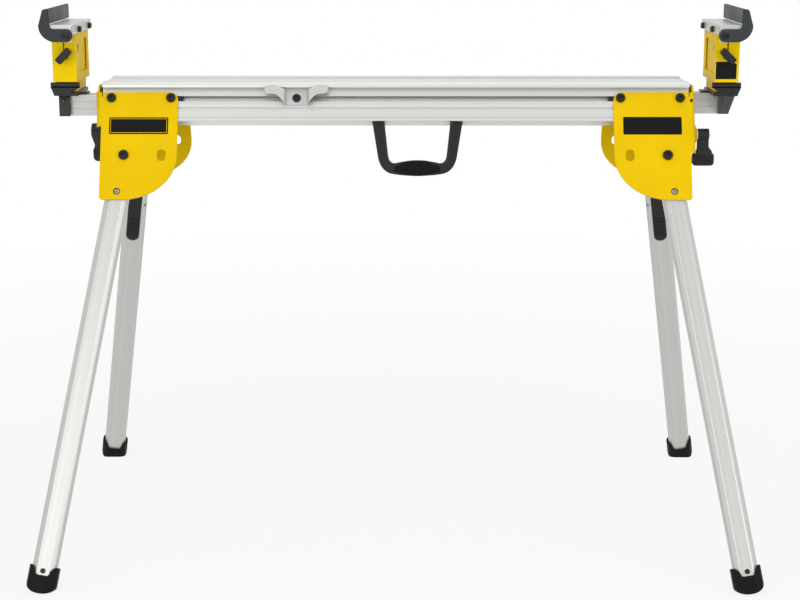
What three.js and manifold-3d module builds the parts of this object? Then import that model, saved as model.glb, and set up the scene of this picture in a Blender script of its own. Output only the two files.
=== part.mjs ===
// Folding stand for a miter saw: an extruded aluminium beam on four folding legs,
// with a height-adjustable work support on a sliding arm at each end.
// Millimetres. +X runs along the beam, the front is -Y, +Z is up, the floor is Z = 0.
import * as THREE from 'three';
import { mergeVertices } from 'three/addons/utils/BufferGeometryUtils.js';
import Module from 'manifold-3d';

const wasm = await Module();
wasm.setup();

// Driving dimensions
const beamLength = 1016;
const beamTop = 813;
const splay = THREE.MathUtils.degToRad(22.5);
const lean = THREE.MathUtils.degToRad(9.15);
const pivotDrop = 121;
const pivotInset = 40.5;
const supportReach = 65;
const fit = 0.3;
const overrun = 5;

// Facets around a full turn of a round piece
const coarse = 8;
const middling = 16;
const fine = 24;

// Beam section; drops are measured down from the top of its rails, and the keel from
// the bottom of the tubes
const beam = {
  seatHalfAtTop: 53.7,
  deckDrop: 2,
  grooveWidth: 3,
  grooveDepth: 2,
  railInner: 39,
  lipOuter: 70.3,
  lipWidth: 8.3,
  lipFall: 6.5,
  lipBottom: 8,
  lipNeck: 57,
  faceTop: 10.5,
  slotDrop: 28.3,
  slotHalf: 4.6,
  slotLip: 3,
  slotRoomHalf: 9,
  slotRoomDepth: 7,
  lowerLip: 15.9,
  shadowWidth: 2.6,
  shadowDepth: 2.2,
  skirtLine: 33.7,
  skirtLineWidth: 0.9,
  skirtLineDepth: 1,
  skirtEnd: 39.5,
  skirtWall: 3.2,
  skirtRoot: 22,
  bellyHalf: 60,
  bellyDrop: 54,
  keelHalf: 40,
  keelRise: 0.5,
  keelDepth: 16.5,
  keelWall: 3,
  wall: 3,
  endCut: 28,
};

// Extension tube, two of them side by side in the beam
const tube = {
  width: 30,
  height: 36.8,
  wall: 2.5,
  offset: 17,
  drop: 24.7,
  outerReach: 74,
  innerInset: 78,
  ribHeight: 6,
  ribDepth: 0.7,
  play: 0.6,
};

// End bracket: two splayed plates joined by an end plate
const plate = {
  thickness: 3.5,
  length: 132,
  endReach: 1,
  topDrop: 17,
  bottomRise: 78.5,
  cornerRadius: 14,
  footRadius: 5,
  bendRadius: 9,
  endDepth: 23,
  freeFootDrop: 11.5,
  freeFootStart: 10,
  endTopDrop: 7,
  endTopHalf: 46,
  boltInset: 12.2,
  boltOutset: 16.7,
  boltHole: 4.4,
  slitWidth: 1.6,
  slitDepth: 8,
  sightHole: 3.2,
  sightHoleDrop: 31,
  sightHoleInset: 5.7,
  collarWall: 4.5,
  collarReach: 6,
  bossRadius: 26,
  bossTopRadius: 14,
  bossRise: 8,
};

// Leg, its lock and its foot
const leg = {
  half: 20.75,
  depth: 26,
  gap: 0.5,
  wall: 2.2,
  floorGap: 28,
  headRise: 21,
  outerFlatHalf: 11,
  innerFlatHalf: 14,
  slotHalf: 12.3,
  slotTop: 47,
  slotBottom: 206,
  pivotHole: 5.4,
};
const legFacetShares = [[0.87, 0.19], [1, 0.38], [1, 0.66], [0.87, 0.87]];
const lock = {
  radius: 64.7,
  pinRadius: 4.6,
  pinPlay: 0.4,
  neckRadius: 3,
  headRadius: 5.6,
  headHeight: 2.6,
  windowWidth: 15,
  windowHeight: 21,
  leverHalf: 11.8,
  leverDepth: 10,
  leverProud: 1,
  leverTop: 50,
  leverBottom: 204,
  leverPivot: 125,
  leverSlack: 0.6,
  trunnionRadius: 2.6,
  trunnionReach: 18.2,
  trunnionDepth: 21,
  ridgeCount: 7,
  ridgePitch: 6,
  ridgeHeight: 0.9,
  ridgeHalf: 9.5,
};
const foot = {
  wall: 4.5,
  rise: 50,
  bottomRise: 4.4,
  notchDepth: 15.5,
  notchTopHalf: 19,
  notchFootHalf: 8,
  sideDip: 6,
  roundWidth: 24,
  roundHeight: 16,
  screwRise: 41.7,
  screwHead: 4.3,
  screwHeadHeight: 1.7,
  screwShank: 2,
  screwLength: 8,
};
const bolt = {
  pivotHead: 8.6,
  pivotHeadHeight: 5.5,
  pivotShank: 5,
  nutRadius: 8,
  nutHeight: 5.5,
  socketRadius: 3.4,
  socketDepth: 2.6,
  mountHead: 8,
  mountHeadHeight: 6,
  mountShank: 3.9,
  barHalf: 8.5,
  barDepth: 6.2,
  barRibHalf: 4.2,
  barReach: 8,
};

// Arm clamp under each end of the beam
const clamp = {
  side: 45,
  drop: 31.5,
  hubRadius: 10.5,
  hubNear: 10.8,
  hubFar: 30.5,
  washerRadius: 10,
  washerHeight: 2.2,
  screwRadius: 4,
  screwPlay: 0.35,
  screwReach: 26,
  armThickness: 12,
  paddleNear: 2.5,
  paddleFar: 40.5,
  shortPaddleNear: 1,
  shortPaddleFar: 31.5,
  paddleTop: 31.5,
  paddleBottom: 54.5,
  paddleThickness: 14,
  paddleRound: 6,
  ridgeCount: 3,
  ridgeHeight: 1,
  barLength: 23,
  barHalfHeight: 9.5,
  barFarReach: 13,
  padLength: 16,
  padInset: 3,
};

// Work support: base, latch, column, sleeve, saddle, stop and knob. Inner and outer
// places are measured outward from its middle plane, rises up from the top of the beam.
const base = {
  inner: -24,
  outer: 26,
  front: -60,
  back: 42,
  floor: 6.6,
  lipThickness: 7,
  lipDrop: 1,
  barHeight: 9,
  taperInner: -2.5,
  taperOuter: 21,
  taperRise: 12,
  strapInner: -32,
  strapThickness: 3.6,
  jawInner: -2.5,
  jawOuter: 16,
  jawToe: 4.7,
  lugHalf: 3,
};
const latch = {
  barrelRadius: 5,
  pinRadius: 2,
  pinPlay: 0.3,
  pivotSide: 21,
  thickness: 6,
  length: 32,
  padHeight: 9,
  padDrop: 14,
};
const column = {
  inner: -17.7,
  outer: 17.9,
  front: -52.5,
  back: 40,
  rise: 83,
  wall: 2.5,
};
const sleeve = {
  inner: -20.7,
  outer: 21,
  front: -60,
  back: 61,
  rise: 3,
  height: 94.4,
  wall: 2.5,
  windowFront: -32,
  windowBack: 45,
  windowSill: 11,
  windowHeight: 56,
  slitWidth: 2.4,
  slitShift: 2.5,
  slitLift: 7,
  slitLength: 15,
};
const saddle = {
  inner: -24,
  outer: 24.3,
  front: -106,
  back: 76,
  wall: 3,
  skirt: 16.7,
  frontSkirt: 29.5,
  relief: 1.2,
  screwFront: -48,
  screwBack: 50,
  screwDrop: 10.3,
  screwHead: 5.6,
  screwHeadHeight: 5,
  screwShank: 2.4,
  stripHalf: 4.5,
  stripThickness: 5,
};
const stop = {
  pivotX: -13.8,
  pivotDrop: 17.7,
  endRadius: 11,
  armThickness: 6,
  face: 14,
  tip: 23,
  tipRise: 45,
  elbow: 32,
  elbowRise: 13,
  heel: 17,
  armFillet: 6,
  plateThickness: 4,
  plateLift: 2.1,
  plateHeight: 25.2,
  plateBack: 72,
  plateCorner: 7,
  boltHead: 5.4,
  boltHeadHeight: 4,
  boltShank: 3.3,
  boltPlay: 0.3,
  boltNut: 6,
  boltNutHeight: 5,
};
const knob = {
  x: -2,
  rise: 46,
  length: 30,
  width: 12.5,
  near: 10,
  thickness: 14,
  hubRadius: 7,
  hubStart: 3,
  stemRadius: 3.6,
  stemPlay: 0.4,
  corner: 3,
};

// Carry handle, its rises and drops measured from the foot of the keel, and accessory
// hook, drawn from the middle of the slot
const handle = {
  centre: 38,
  topHalf: 80.5,
  gripHalf: 73,
  armWidth: 21.5,
  topRise: 17,
  kneeDrop: 59,
  bottomDrop: 88.5,
  crownDrop: 63.1,
  gripEndDrop: 67.5,
  thickness: 14,
  bevel: 3,
  screwRise: 7,
  screwHead: 5,
  screwHeadHeight: 2.6,
  screwShank: 2.6,
  screwPlay: 0.35,
  nutHeight: 3.4,
};
const hook = {
  centre: -171.5,
  half: 20.5,
  low: -12,
  high: 12,
  sheet: 2.5,
  reach: 15,
  lobeReach: 35,
  lobeHeight: 14,
  lobeRise: 11,
  screwHead: 7.3,
  screwHeadHeight: 3.5,
  screwShank: 3.4,
  nutHalf: 8,
};

// Values worked out from the sizes above
const tan = Math.tan(splay);
const cos = Math.cos(splay);
const sin = Math.sin(splay);
const beamEnd = beamLength / 2;
const pivotHeight = beamTop - pivotDrop;
const pivotReach = beamEnd + plate.endReach - pivotInset;
const plateEnd = beamEnd + plate.endReach;
const plateStart = plateEnd - plate.length;
const seatDepth = plate.thickness + fit;
const pivotDepth = beam.seatHalfAtTop + (beamTop - pivotHeight) * tan + seatDepth / cos;
const tubeTop = beamTop - tube.drop;
const tubeBottom = tubeTop - tube.height;
const keelFoot = tubeBottom - beam.keelDepth;
const endFace = plateEnd + plate.bendRadius;
const legNear = plate.thickness + leg.gap;
const legFar = legNear + leg.depth;
const slotRise = (beamTop - beam.slotDrop - pivotHeight + seatDepth * sin) / cos;
const mountReaches = [plateStart + plate.boltInset, plateEnd - plate.boltOutset];
const clampHeight = tubeBottom - clamp.drop;
const endFoot = clampHeight - plate.endDepth;
const freeFoot = tubeBottom - plate.freeFootDrop;
const handleScrewHeight = keelFoot + handle.screwRise;
const floorTop = tubeTop + fit + base.floor;
const lipTop = beamTop - base.lipDrop;
const sleeveBottom = beamTop + sleeve.rise;
const sleeveTop = sleeveBottom + sleeve.height;
const saddleTop = sleeveTop + fit + saddle.wall;
const saddleScrewHeight = saddleTop - saddle.screwDrop;
const knobHeight = beamTop + knob.rise;
const stopHeight = saddleTop - stop.pivotDrop;

// Distance along a leg from its pivot to the floor, and what is measured back from it
const floorRun = pivotHeight / (cos * Math.cos(lean));
const legLength = floorRun - leg.floorGap;
const footTop = floorRun - foot.rise;
const footBottom = floorRun - foot.bottomRise;
const footScrew = floorRun - foot.screwRise;

// Solids and booleans
function indexed(geometry) {
  const plain = geometry.clone();
  plain.deleteAttribute('normal');
  plain.deleteAttribute('uv');
  return mergeVertices(plain);
}

function solidOf(geometry) {
  const welded = indexed(geometry);
  return new wasm.Manifold(new wasm.Mesh({
    numProp: 3,
    vertProperties: welded.getAttribute('position').array,
    triVerts: Uint32Array.from(welded.index.array),
  }));
}

function geometryOf(solid) {
  const mesh = solid.getMesh();
  const geometry = new THREE.BufferGeometry();
  geometry.setAttribute('position', new THREE.BufferAttribute(mesh.vertProperties.slice(), 3));
  geometry.setIndex(new THREE.BufferAttribute(mesh.triVerts.slice(), 1));
  return geometry;
}

function join(...geometries) {
  return geometryOf(geometries.map(solidOf).reduce((sum, next) => sum.add(next)));
}

function cut(geometry, ...tools) {
  return geometryOf(tools.map(solidOf).reduce((rest, tool) => rest.subtract(tool), solidOf(geometry)));
}

function common(geometry, other) {
  return geometryOf(solidOf(geometry).intersect(solidOf(other)));
}

function mirrored(geometry) {
  const flipped = indexed(geometry).scale(-1, 1, 1);
  const index = flipped.index.array;
  for (let i = 0; i < index.length; i += 3) {
    [index[i], index[i + 1]] = [index[i + 1], index[i]];
  }
  return flipped;
}

// Basic forms
function block([x0, x1], [y0, y1], [z0, z1]) {
  return new THREE.BoxGeometry(x1 - x0, y1 - y0, z1 - z0)
    .translate((x0 + x1) / 2, (y0 + y1) / 2, (z0 + z1) / 2);
}

function rodY(radius, y0, y1, x, z, facets = middling) {
  return new THREE.CylinderGeometry(radius, radius, y1 - y0, facets).translate(x, (y0 + y1) / 2, z);
}

function rodX(radius, x0, x1, y, z, facets = middling) {
  return new THREE.CylinderGeometry(radius, radius, x1 - x0, facets)
    .rotateZ(Math.PI / 2).translate((x0 + x1) / 2, y, z);
}

// A round piece turned about an axis along Y, from [radius, y] points
function turnedY(points, x, z, facets = middling) {
  const profile = points.map(([radius, y]) => new THREE.Vector2(radius, y));
  return new THREE.LatheGeometry(profile, facets).translate(x, 0, z);
}

function extruded(shape, depth, bevel = 0) {
  return new THREE.ExtrudeGeometry(shape, {
    depth: depth - 2 * bevel,
    bevelEnabled: bevel > 0,
    bevelSize: bevel,
    bevelOffset: -bevel,
    bevelThickness: bevel,
    bevelSegments: 2,
    curveSegments: 6,
  }).translate(0, 0, bevel);
}

// A shape drawn in X and Z, with its thickness along Y
function slabXZ(shape, y0, y1, bevel) {
  return extruded(shape, y1 - y0, bevel).rotateX(Math.PI / 2).translate(0, y1, 0);
}

// A shape drawn in Y and Z, with its length along X
function slabYZ(shape, x0, x1, bevel) {
  const axes = new THREE.Matrix4().makeBasis(
    new THREE.Vector3(0, 1, 0), new THREE.Vector3(0, 0, 1), new THREE.Vector3(1, 0, 0));
  return extruded(shape, x1 - x0, bevel).applyMatrix4(axes).translate(x0, 0, 0);
}

// A shape drawn in X and Y, with its height along Z
function slabXY(shape, z0, z1, bevel) {
  return extruded(shape, z1 - z0, bevel).translate(0, 0, z0);
}

// Outlines always run counterclockwise, so that holes in them turn the right way
function outline(points) {
  const vertices = points.map(([a, b]) => new THREE.Vector2(a, b));
  return new THREE.Shape(THREE.ShapeUtils.isClockWise(vertices) ? vertices.reverse() : vertices);
}

function traced(path) {
  return outline(path.getPoints(6).map(({ x, y }) => [x, y]));
}

function arc(a, b, radiusA, radiusB, from, to, steps = 5) {
  return Array.from({ length: steps + 1 }, (_, i) => {
    const angle = from + (to - from) * i / steps;
    return [a + radiusA * Math.cos(angle), b + radiusB * Math.sin(angle)];
  });
}

function roundedRect(a0, a1, b0, b1, radius, steps = 3) {
  const quarter = Math.PI / 2;
  const corners = [[a1, b1], [a0, b1], [a0, b0], [a1, b0]];
  return outline(corners.flatMap(([a, b], i) => arc(
    a - Math.sign(a - (a0 + a1) / 2) * radius,
    b - Math.sign(b - (b0 + b1) / 2) * radius,
    radius, radius, i * quarter, (i + 1) * quarter, steps)));
}

// The splayed planes of the plates and legs. In them X is as in the world, +Y runs
// inward from the outer face of the plate, and +Z runs up along the plate.
function plane(turned) {
  const group = new THREE.Group();
  const tilted = new THREE.Group();
  tilted.position.set(0, -pivotDepth, pivotHeight);
  tilted.rotation.x = -splay;
  group.rotation.z = turned ? Math.PI : 0;
  group.add(tilted);
  group.updateMatrixWorld(true);
  return { group, tilted };
}

const planes = { front: plane(false), rear: plane(true) };

function placedOn(name, geometry) {
  return geometry.clone().applyMatrix4(planes[name].tilted.matrixWorld);
}

// Height along the plane of a world height, on the plane at a given depth
function riseAt(height, depth = 0) {
  return (height - pivotHeight + depth * sin) / cos;
}

// Beam
function onFace(along, inward) {
  return [
    beam.seatHalfAtTop + beam.slotDrop * tan + along * sin - inward * cos,
    beamTop - beam.slotDrop - along * cos - inward * sin,
  ];
}

function beamHalf() {
  const { slotHalf, slotLip, slotRoomHalf, slotRoomDepth } = beam;
  const deck = beamTop - beam.deckDrop;
  const slotDeep = slotLip + slotRoomDepth;
  const shadow = beam.lowerLip + beam.shadowWidth;
  const line = beam.skirtLine + beam.skirtLineWidth;
  return [
    [beam.railInner - beam.grooveWidth, deck],
    [beam.railInner - beam.grooveWidth, deck - beam.grooveDepth],
    [beam.railInner, deck - beam.grooveDepth],
    [beam.railInner, beamTop],
    ...arc(beam.lipOuter - beam.lipWidth, beamTop - beam.lipFall, beam.lipWidth, beam.lipFall,
      Math.PI / 2, 0),
    [beam.lipOuter, beamTop - beam.lipBottom],
    [beam.lipNeck, beamTop - beam.lipBottom],
    [beam.lipNeck, beamTop - beam.faceTop],
    [beam.seatHalfAtTop + beam.faceTop * tan, beamTop - beam.faceTop],
    onFace(-slotHalf, 0), onFace(-slotHalf, slotLip),
    onFace(-slotRoomHalf, slotLip), onFace(-slotRoomHalf, slotDeep),
    onFace(slotRoomHalf, slotDeep), onFace(slotRoomHalf, slotLip),
    onFace(slotHalf, slotLip), onFace(slotHalf, 0),
    onFace(beam.lowerLip, 0), onFace(beam.lowerLip, beam.shadowDepth),
    onFace(shadow, beam.shadowDepth), onFace(shadow, 0),
    onFace(beam.skirtLine, 0), onFace(beam.skirtLine, beam.skirtLineDepth),
    onFace(line, beam.skirtLineDepth), onFace(line, 0),
    onFace(beam.skirtEnd, 0), onFace(beam.skirtEnd, beam.skirtWall),
    onFace(beam.skirtRoot, beam.skirtWall),
    [beam.bellyHalf, beamTop - beam.bellyDrop],
    [beam.keelHalf, tubeBottom + beam.keelRise],
    [beam.keelHalf, keelFoot],
    [beam.keelHalf - beam.keelWall, keelFoot],
    [beam.keelHalf - beam.keelWall, tubeBottom - tube.play - beam.wall],
  ];
}

function beamHoles() {
  const boreOuter = tube.offset + tube.width / 2 + tube.play;
  const boreInner = tube.offset - tube.width / 2 - tube.play;
  const boreTop = tubeTop + tube.play;
  const roomInner = boreOuter + beam.wall;
  const roomDeep = beam.slotLip + beam.slotRoomDepth + beam.wall;
  const roomEdge = beam.slotRoomHalf + beam.wall;
  const underDeck = beamTop - beam.deckDrop - beam.wall;
  const underGroove = underDeck - beam.grooveDepth;
  const neck = beam.lipNeck - beam.wall;
  const bore = [[boreInner, boreTop], [boreOuter, boreTop],
    [boreOuter, tubeBottom - tube.play], [boreInner, tubeBottom - tube.play]];
  const attic = [[boreInner, underDeck], [boreOuter, underDeck],
    [boreOuter, boreTop + beam.wall], [boreInner, boreTop + beam.wall]];
  const side = [
    [roomInner, tubeBottom + beam.keelRise + beam.wall],
    [beam.bellyHalf - beam.wall, beamTop - beam.bellyDrop + beam.wall],
    onFace(roomEdge, roomDeep), onFace(-roomEdge, roomDeep),
    [neck, beamTop - beam.faceTop - beam.wall],
    [neck, beamTop - beam.wall],
    [beam.railInner + beam.wall, beamTop - beam.wall],
    [beam.railInner + beam.wall, underGroove],
    [roomInner, underGroove],
  ];
  return [bore, attic, side];
}

function makeBeam() {
  const half = beamHalf();
  const bar = slabYZ(outline([...half, ...half.map(([y, z]) => [-y, z]).reverse()]), -beamEnd, beamEnd);
  const holes = beamHoles().flatMap((hole) => [hole, hole.map(([y, z]) => [-y, z])])
    .map((hole) => slabYZ(outline(hole), -beamEnd - overrun, beamEnd + overrun));
  const keelRoom = [-beam.keelHalf - fit, beam.keelHalf + fit];
  const openings = [-1, 1].map((side) => block(
    side < 0 ? [-beamEnd - overrun, beam.endCut - beamEnd] : [beamEnd - beam.endCut, beamEnd + overrun],
    keelRoom,
    [keelFoot - overrun, tubeBottom - tube.play / 2]));
  const screwHoles = handleScrewPlaces().map((x) => rodY(
    handle.screwShank + handle.screwPlay, -beam.keelHalf - overrun,
    -beam.keelHalf + beam.keelWall + overrun, x, handleScrewHeight, coarse));
  return cut(bar, ...holes, ...openings, ...screwHoles);
}

// End bracket
function flatPlate() {
  const top = riseAt(beamTop - plate.topDrop);
  const shape = outline([
    ...arc(plateStart + plate.cornerRadius, top - plate.cornerRadius,
      plate.cornerRadius, plate.cornerRadius, Math.PI, Math.PI / 2),
    [plateEnd, top],
    ...arc(plateEnd - plate.footRadius, plate.footRadius - plate.bottomRise,
      plate.footRadius, plate.footRadius, 0, -Math.PI / 2, 3),
    ...arc(pivotReach, 0, pivotReach - plateStart, plate.bottomRise, -Math.PI / 2, -Math.PI, 10),
  ]);
  return slabXZ(shape, 0, plate.thickness);
}

function plateHoles() {
  const halfWidth = lock.windowWidth / 2;
  const straight = (lock.windowHeight - lock.windowWidth) / 2;
  const windowX = pivotReach - lock.radius;
  const round = Math.PI;
  return [
    arc(pivotReach, 0, bolt.pivotShank + fit, bolt.pivotShank + fit, 0, 2 * round, 16).slice(1),
    arc(pivotReach + lock.radius * Math.sin(lean), -lock.radius * Math.cos(lean),
      lock.pinRadius + lock.pinPlay, lock.pinRadius + lock.pinPlay, 0, 2 * round, 16).slice(1),
    [...arc(windowX, straight, halfWidth, halfWidth, 0, round, 8),
      ...arc(windowX, -straight, halfWidth, halfWidth, round, 2 * round, 8)],
    ...mountReaches.map((x) => arc(x, slotRise, plate.boltHole, plate.boltHole, 0, 2 * round, 12).slice(1)),
  ].map((hole) => slabXZ(outline(hole), -overrun, plate.thickness + overrun));
}

function sidePlate(bendFoot) {
  const { bendRadius, thickness } = plate;
  const innerRadius = bendRadius - thickness;
  const bend = outline([
    ...arc(plateEnd, bendRadius, bendRadius, bendRadius, -Math.PI / 2, 0),
    ...arc(plateEnd, bendRadius, innerRadius, innerRadius, 0, -Math.PI / 2),
  ]);
  const top = riseAt(beamTop - plate.topDrop);
  const corner = slabXY(bend, riseAt(bendFoot), top);
  const slit = block([plateEnd - plate.slitWidth, plateEnd], [-overrun, bendRadius + overrun],
    [top - plate.slitDepth, top + overrun]);
  return cut(join(flatPlate(), corner), slit, ...plateHoles());
}

function makeBracket() {
  const edge = (height) => pivotDepth + (pivotHeight - height) * tan - plate.bendRadius / cos;
  const inner = endFace - plate.thickness;
  const shoulder = beamTop - plate.topDrop;
  const top = beamTop - plate.endTopDrop;
  const sheet = slabYZ(outline([
    [plate.endTopHalf, top], [edge(shoulder), shoulder], [edge(freeFoot), freeFoot],
    [plate.freeFootStart, freeFoot], [plate.freeFootStart, endFoot], [-edge(endFoot), endFoot],
    [-edge(shoulder), shoulder], [-plate.endTopHalf, top],
  ]), inner, endFace);
  const tubeSides = (grow) => [[tube.offset - tube.width / 2 - grow, tube.offset + tube.width / 2 + grow],
    [tubeBottom - grow, tubeTop + grow]];
  const collar = block([inner, endFace + plate.collarReach], ...tubeSides(tube.play + plate.collarWall));
  const opening = block([inner - overrun, endFace + plate.collarReach + overrun], ...tubeSides(tube.play));
  const { bossRadius, bossTopRadius, bossRise, thickness } = plate;
  const screwHole = clamp.screwRadius + clamp.screwPlay;
  const boss = new THREE.LatheGeometry([
    [screwHole, bossRise - thickness], [bossTopRadius - thickness / 2, bossRise - thickness],
    [bossRadius - thickness, -thickness], [bossRadius, -thickness],
    [bossRadius, 0], [bossTopRadius, bossRise], [screwHole, bossRise], [screwHole, bossRise - thickness],
  ].map(([radius, rise]) => new THREE.Vector2(radius, rise)), fine)
    .rotateZ(-Math.PI / 2).translate(endFace, -clamp.side, clampHeight);
  const bossRoom = rodX(bossRadius - thickness / 2, inner - overrun, endFace + overrun,
    -clamp.side, clampHeight, fine);
  const end = join(cut(join(sheet, collar), opening, bossRoom), boss);
  const front = placedOn('front', sidePlate(endFoot));
  const rear = placedOn('rear', mirrored(sidePlate(freeFoot)));
  const sight = rodY(plate.sightHole, -pivotDepth, 0, endFace - plate.sightHoleInset,
    beamTop - plate.sightHoleDrop, coarse);
  return join(cut(front, sight), rear, end);
}

// Bar and bolts that hold a plate in the slot of the beam
function makeMountBolts() {
  const lipDepth = seatDepth + beam.slotLip + fit;
  const xs = [plateStart - bolt.barReach, mountReaches[1] + bolt.mountHead];
  const bar = block(xs, [lipDepth, lipDepth + bolt.barDepth], [slotRise - bolt.barHalf, slotRise + bolt.barHalf]);
  const rib = block(xs, [seatDepth + fit, lipDepth + fit], [slotRise - bolt.barRibHalf, slotRise + bolt.barRibHalf]);
  const screws = mountReaches.map((x) => headedY(x, slotRise, bolt.mountHead, bolt.mountHeadHeight,
    bolt.mountShank, -fit, lipDepth + fit));
  return join(bar, rib, ...screws);
}

// A domed socket head outside a face, with its shank running in along +Y
function headedY(x, z, headRadius, headHeight, shank, face, end, facets = middling) {
  const crown = [0.55, 0.86, 1].map((share, i) => [headRadius * share, face - headHeight * (1 - i * 0.22)]);
  const socketRadius = headRadius * bolt.socketRadius / bolt.mountHead;
  const socketFloor = face - headHeight + bolt.socketDepth * headHeight / bolt.mountHeadHeight;
  return turnedY([
    [0, socketFloor], [socketRadius, socketFloor], [socketRadius, face - headHeight],
    ...crown, [headRadius, face], [shank, face], [shank, end], [0, end],
  ], x, z, facets);
}

// Leg in its own frame: the pivot axis is Y at the origin and the leg runs down -Z
function legSection(grow) {
  const half = leg.half + grow;
  const near = legNear - grow;
  const depth = leg.depth + 2 * grow;
  const side = legFacetShares.map(([across, inward]) => [half * across, near + depth * inward]);
  const right = [[leg.outerFlatHalf, near], ...side, [leg.innerFlatHalf, near + depth]];
  return outline([...right, ...right.map(([x, y]) => [-x, y]).reverse()]);
}

function makeLeg() {
  const body = slabXY(legSection(0), -legLength, leg.headRise);
  const bore = slabXY(legSection(-leg.wall), -legLength - overrun, leg.headRise + overrun);
  const sideView = outline([
    [-leg.half, -legLength], [leg.half, -legLength],
    ...arc(0, leg.headRise - leg.half, leg.half, leg.half, 0, Math.PI, 8),
  ]);
  const shell = common(cut(body, bore), slabXZ(sideView, 0, legFar + overrun));
  const slot = outline([
    [leg.slotHalf, -leg.slotTop], [-leg.slotHalf, -leg.slotTop],
    ...arc(0, leg.slotHalf - leg.slotBottom, leg.slotHalf, leg.slotHalf, Math.PI, 2 * Math.PI, 10),
  ]);
  const trunnion = lock.trunnionRadius + fit;
  return cut(shell,
    rodY(leg.pivotHole, 0, legFar + overrun, 0, 0),
    rodY(lock.pinRadius + lock.pinPlay, 0, legNear + leg.depth / 2, 0, -lock.radius),
    slabXZ(slot, legNear + leg.depth / 2, legFar + overrun),
    rodX(trunnion, -leg.half - overrun, leg.half + overrun, legNear + lock.trunnionDepth, -lock.leverPivot),
    rodY(foot.screwShank + fit, 0, legNear + leg.depth / 2, 0, -footScrew, coarse));
}

function makeLockLever() {
  const far = legFar + lock.leverProud;
  const near = far - lock.leverDepth;
  const shape = outline([
    [lock.leverHalf, -lock.leverTop], [-lock.leverHalf, -lock.leverTop],
    ...arc(0, lock.leverHalf - lock.leverBottom, lock.leverHalf, lock.leverHalf, Math.PI, 2 * Math.PI, 10),
  ]);
  const ridges = Array.from({ length: lock.ridgeCount }, (_, i) => {
    const z = -lock.leverBottom + lock.leverHalf + lock.ridgePitch * i;
    const corners = [[far - fit, z], [far + lock.ridgeHeight, z + lock.ridgePitch / 4],
      [far - fit, z + lock.ridgePitch / 2]];
    return slabYZ(outline(corners), -lock.ridgeHalf, lock.ridgeHalf);
  });
  const axle = rodX(lock.trunnionRadius, -lock.trunnionReach, lock.trunnionReach,
    legNear + lock.trunnionDepth, -lock.leverPivot, coarse);
  const eye = rodY(lock.neckRadius + 2 * lock.pinPlay, near - overrun, far + overrun, 0, -lock.radius);
  return cut(join(slabXZ(shape, near, far), axle, ...ridges), eye);
}

function makeLockPin() {
  const far = legFar + lock.leverProud + lock.leverSlack;
  const shoulder = far - lock.leverDepth - 2 * lock.leverSlack;
  const tip = plate.thickness + fit;
  const cross = lock.pinRadius / 2;
  return turnedY([
    [0, tip + fit], [cross, tip + fit], [cross, tip], [lock.pinRadius - fit, tip],
    [lock.pinRadius, tip + fit], [lock.pinRadius, shoulder],
    [lock.neckRadius, shoulder], [lock.neckRadius, far], [lock.headRadius, far],
    [lock.headRadius, far + lock.headHeight], [0, far + lock.headHeight],
  ], 0, -lock.radius);
}

function makePivotBolt() {
  const nutStart = legFar + fit;
  const screw = headedY(0, 0, bolt.pivotHead, bolt.pivotHeadHeight, bolt.pivotShank, -fit, nutStart + fit);
  const nut = rodY(bolt.nutRadius, nutStart, nutStart + bolt.nutHeight, 0, 0, 6);
  return join(screw, nut);
}

function footFrame(side) {
  const frame = new THREE.Object3D();
  frame.position.x = side * pivotReach;
  frame.rotation.y = -side * lean;
  frame.updateMatrix();
  return new THREE.Matrix4().multiplyMatrices(planes.front.tilted.matrixWorld, frame.matrix);
}

function makeBoot(side) {
  const half = leg.half + foot.wall;
  const body = slabXY(legSection(foot.wall), -footBottom, -footTop);
  const room = slabXY(legSection(fit), -legLength - fit, -footTop + overrun);
  const bottomView = outline([
    [half, -footTop], [-half, -footTop],
    ...arc(foot.roundWidth - half, foot.roundHeight - footBottom, foot.roundWidth, foot.roundHeight,
      Math.PI, 1.5 * Math.PI, 6),
    ...arc(half - foot.roundWidth, foot.roundHeight - footBottom, foot.roundWidth, foot.roundHeight,
      1.5 * Math.PI, 2 * Math.PI, 6),
  ]);
  const notchFloor = footTop + foot.notchDepth;
  const notch = outline([
    [foot.notchTopHalf, overrun - footTop], [-foot.notchTopHalf, overrun - footTop],
    [-foot.notchFootHalf - foot.sideDip / 2, foot.sideDip - notchFloor], [-foot.notchFootHalf, -notchFloor],
    [foot.notchFootHalf, -notchFloor], [foot.notchFootHalf + foot.sideDip / 2, foot.sideDip - notchFloor],
  ]);
  const ground = block([-beamLength, beamLength], [-beamLength, beamLength], [-beamTop, 0])
    .applyMatrix4(footFrame(side).invert());
  const rounded = common(body, slabXZ(bottomView, legNear - foot.wall - overrun, legFar + foot.wall + overrun));
  return cut(rounded, room, slabXZ(notch, legNear - foot.wall - overrun, legFar + foot.wall + overrun), ground);
}

function makeFootScrew() {
  return headedY(0, -footScrew, foot.screwHead, foot.screwHeadHeight, foot.screwShank,
    legNear - fit, legNear + foot.screwLength, coarse);
}

// Sliding arm and its clamp, drawn for the right end
function makeTube() {
  const { width, height, wall, offset } = tube;
  const near = offset - width / 2;
  const far = offset + width / 2;
  const middle = (tubeTop + tubeBottom) / 2;
  const start = tube.innerInset - beamEnd;
  const end = beamEnd + tube.outerReach;
  const step = (z, out) => [z, out];
  const ribs = [step(tubeBottom, 0), step(middle - tube.ribHeight, 0), step(middle - tube.ribHeight, 1),
    step(middle + tube.ribHeight, 1), step(middle + tube.ribHeight, 0), step(tubeTop, 0)];
  const section = outline([
    ...ribs.map(([z, out]) => [far - out * tube.ribDepth, z]),
    ...ribs.map(([z, out]) => [near + out * tube.ribDepth, z]).reverse(),
  ]);
  return cut(slabYZ(section, start, end), block(
    [start - overrun, end + overrun], [near + wall, far - wall],
    [tubeBottom + wall, tubeTop - wall]));
}

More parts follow.
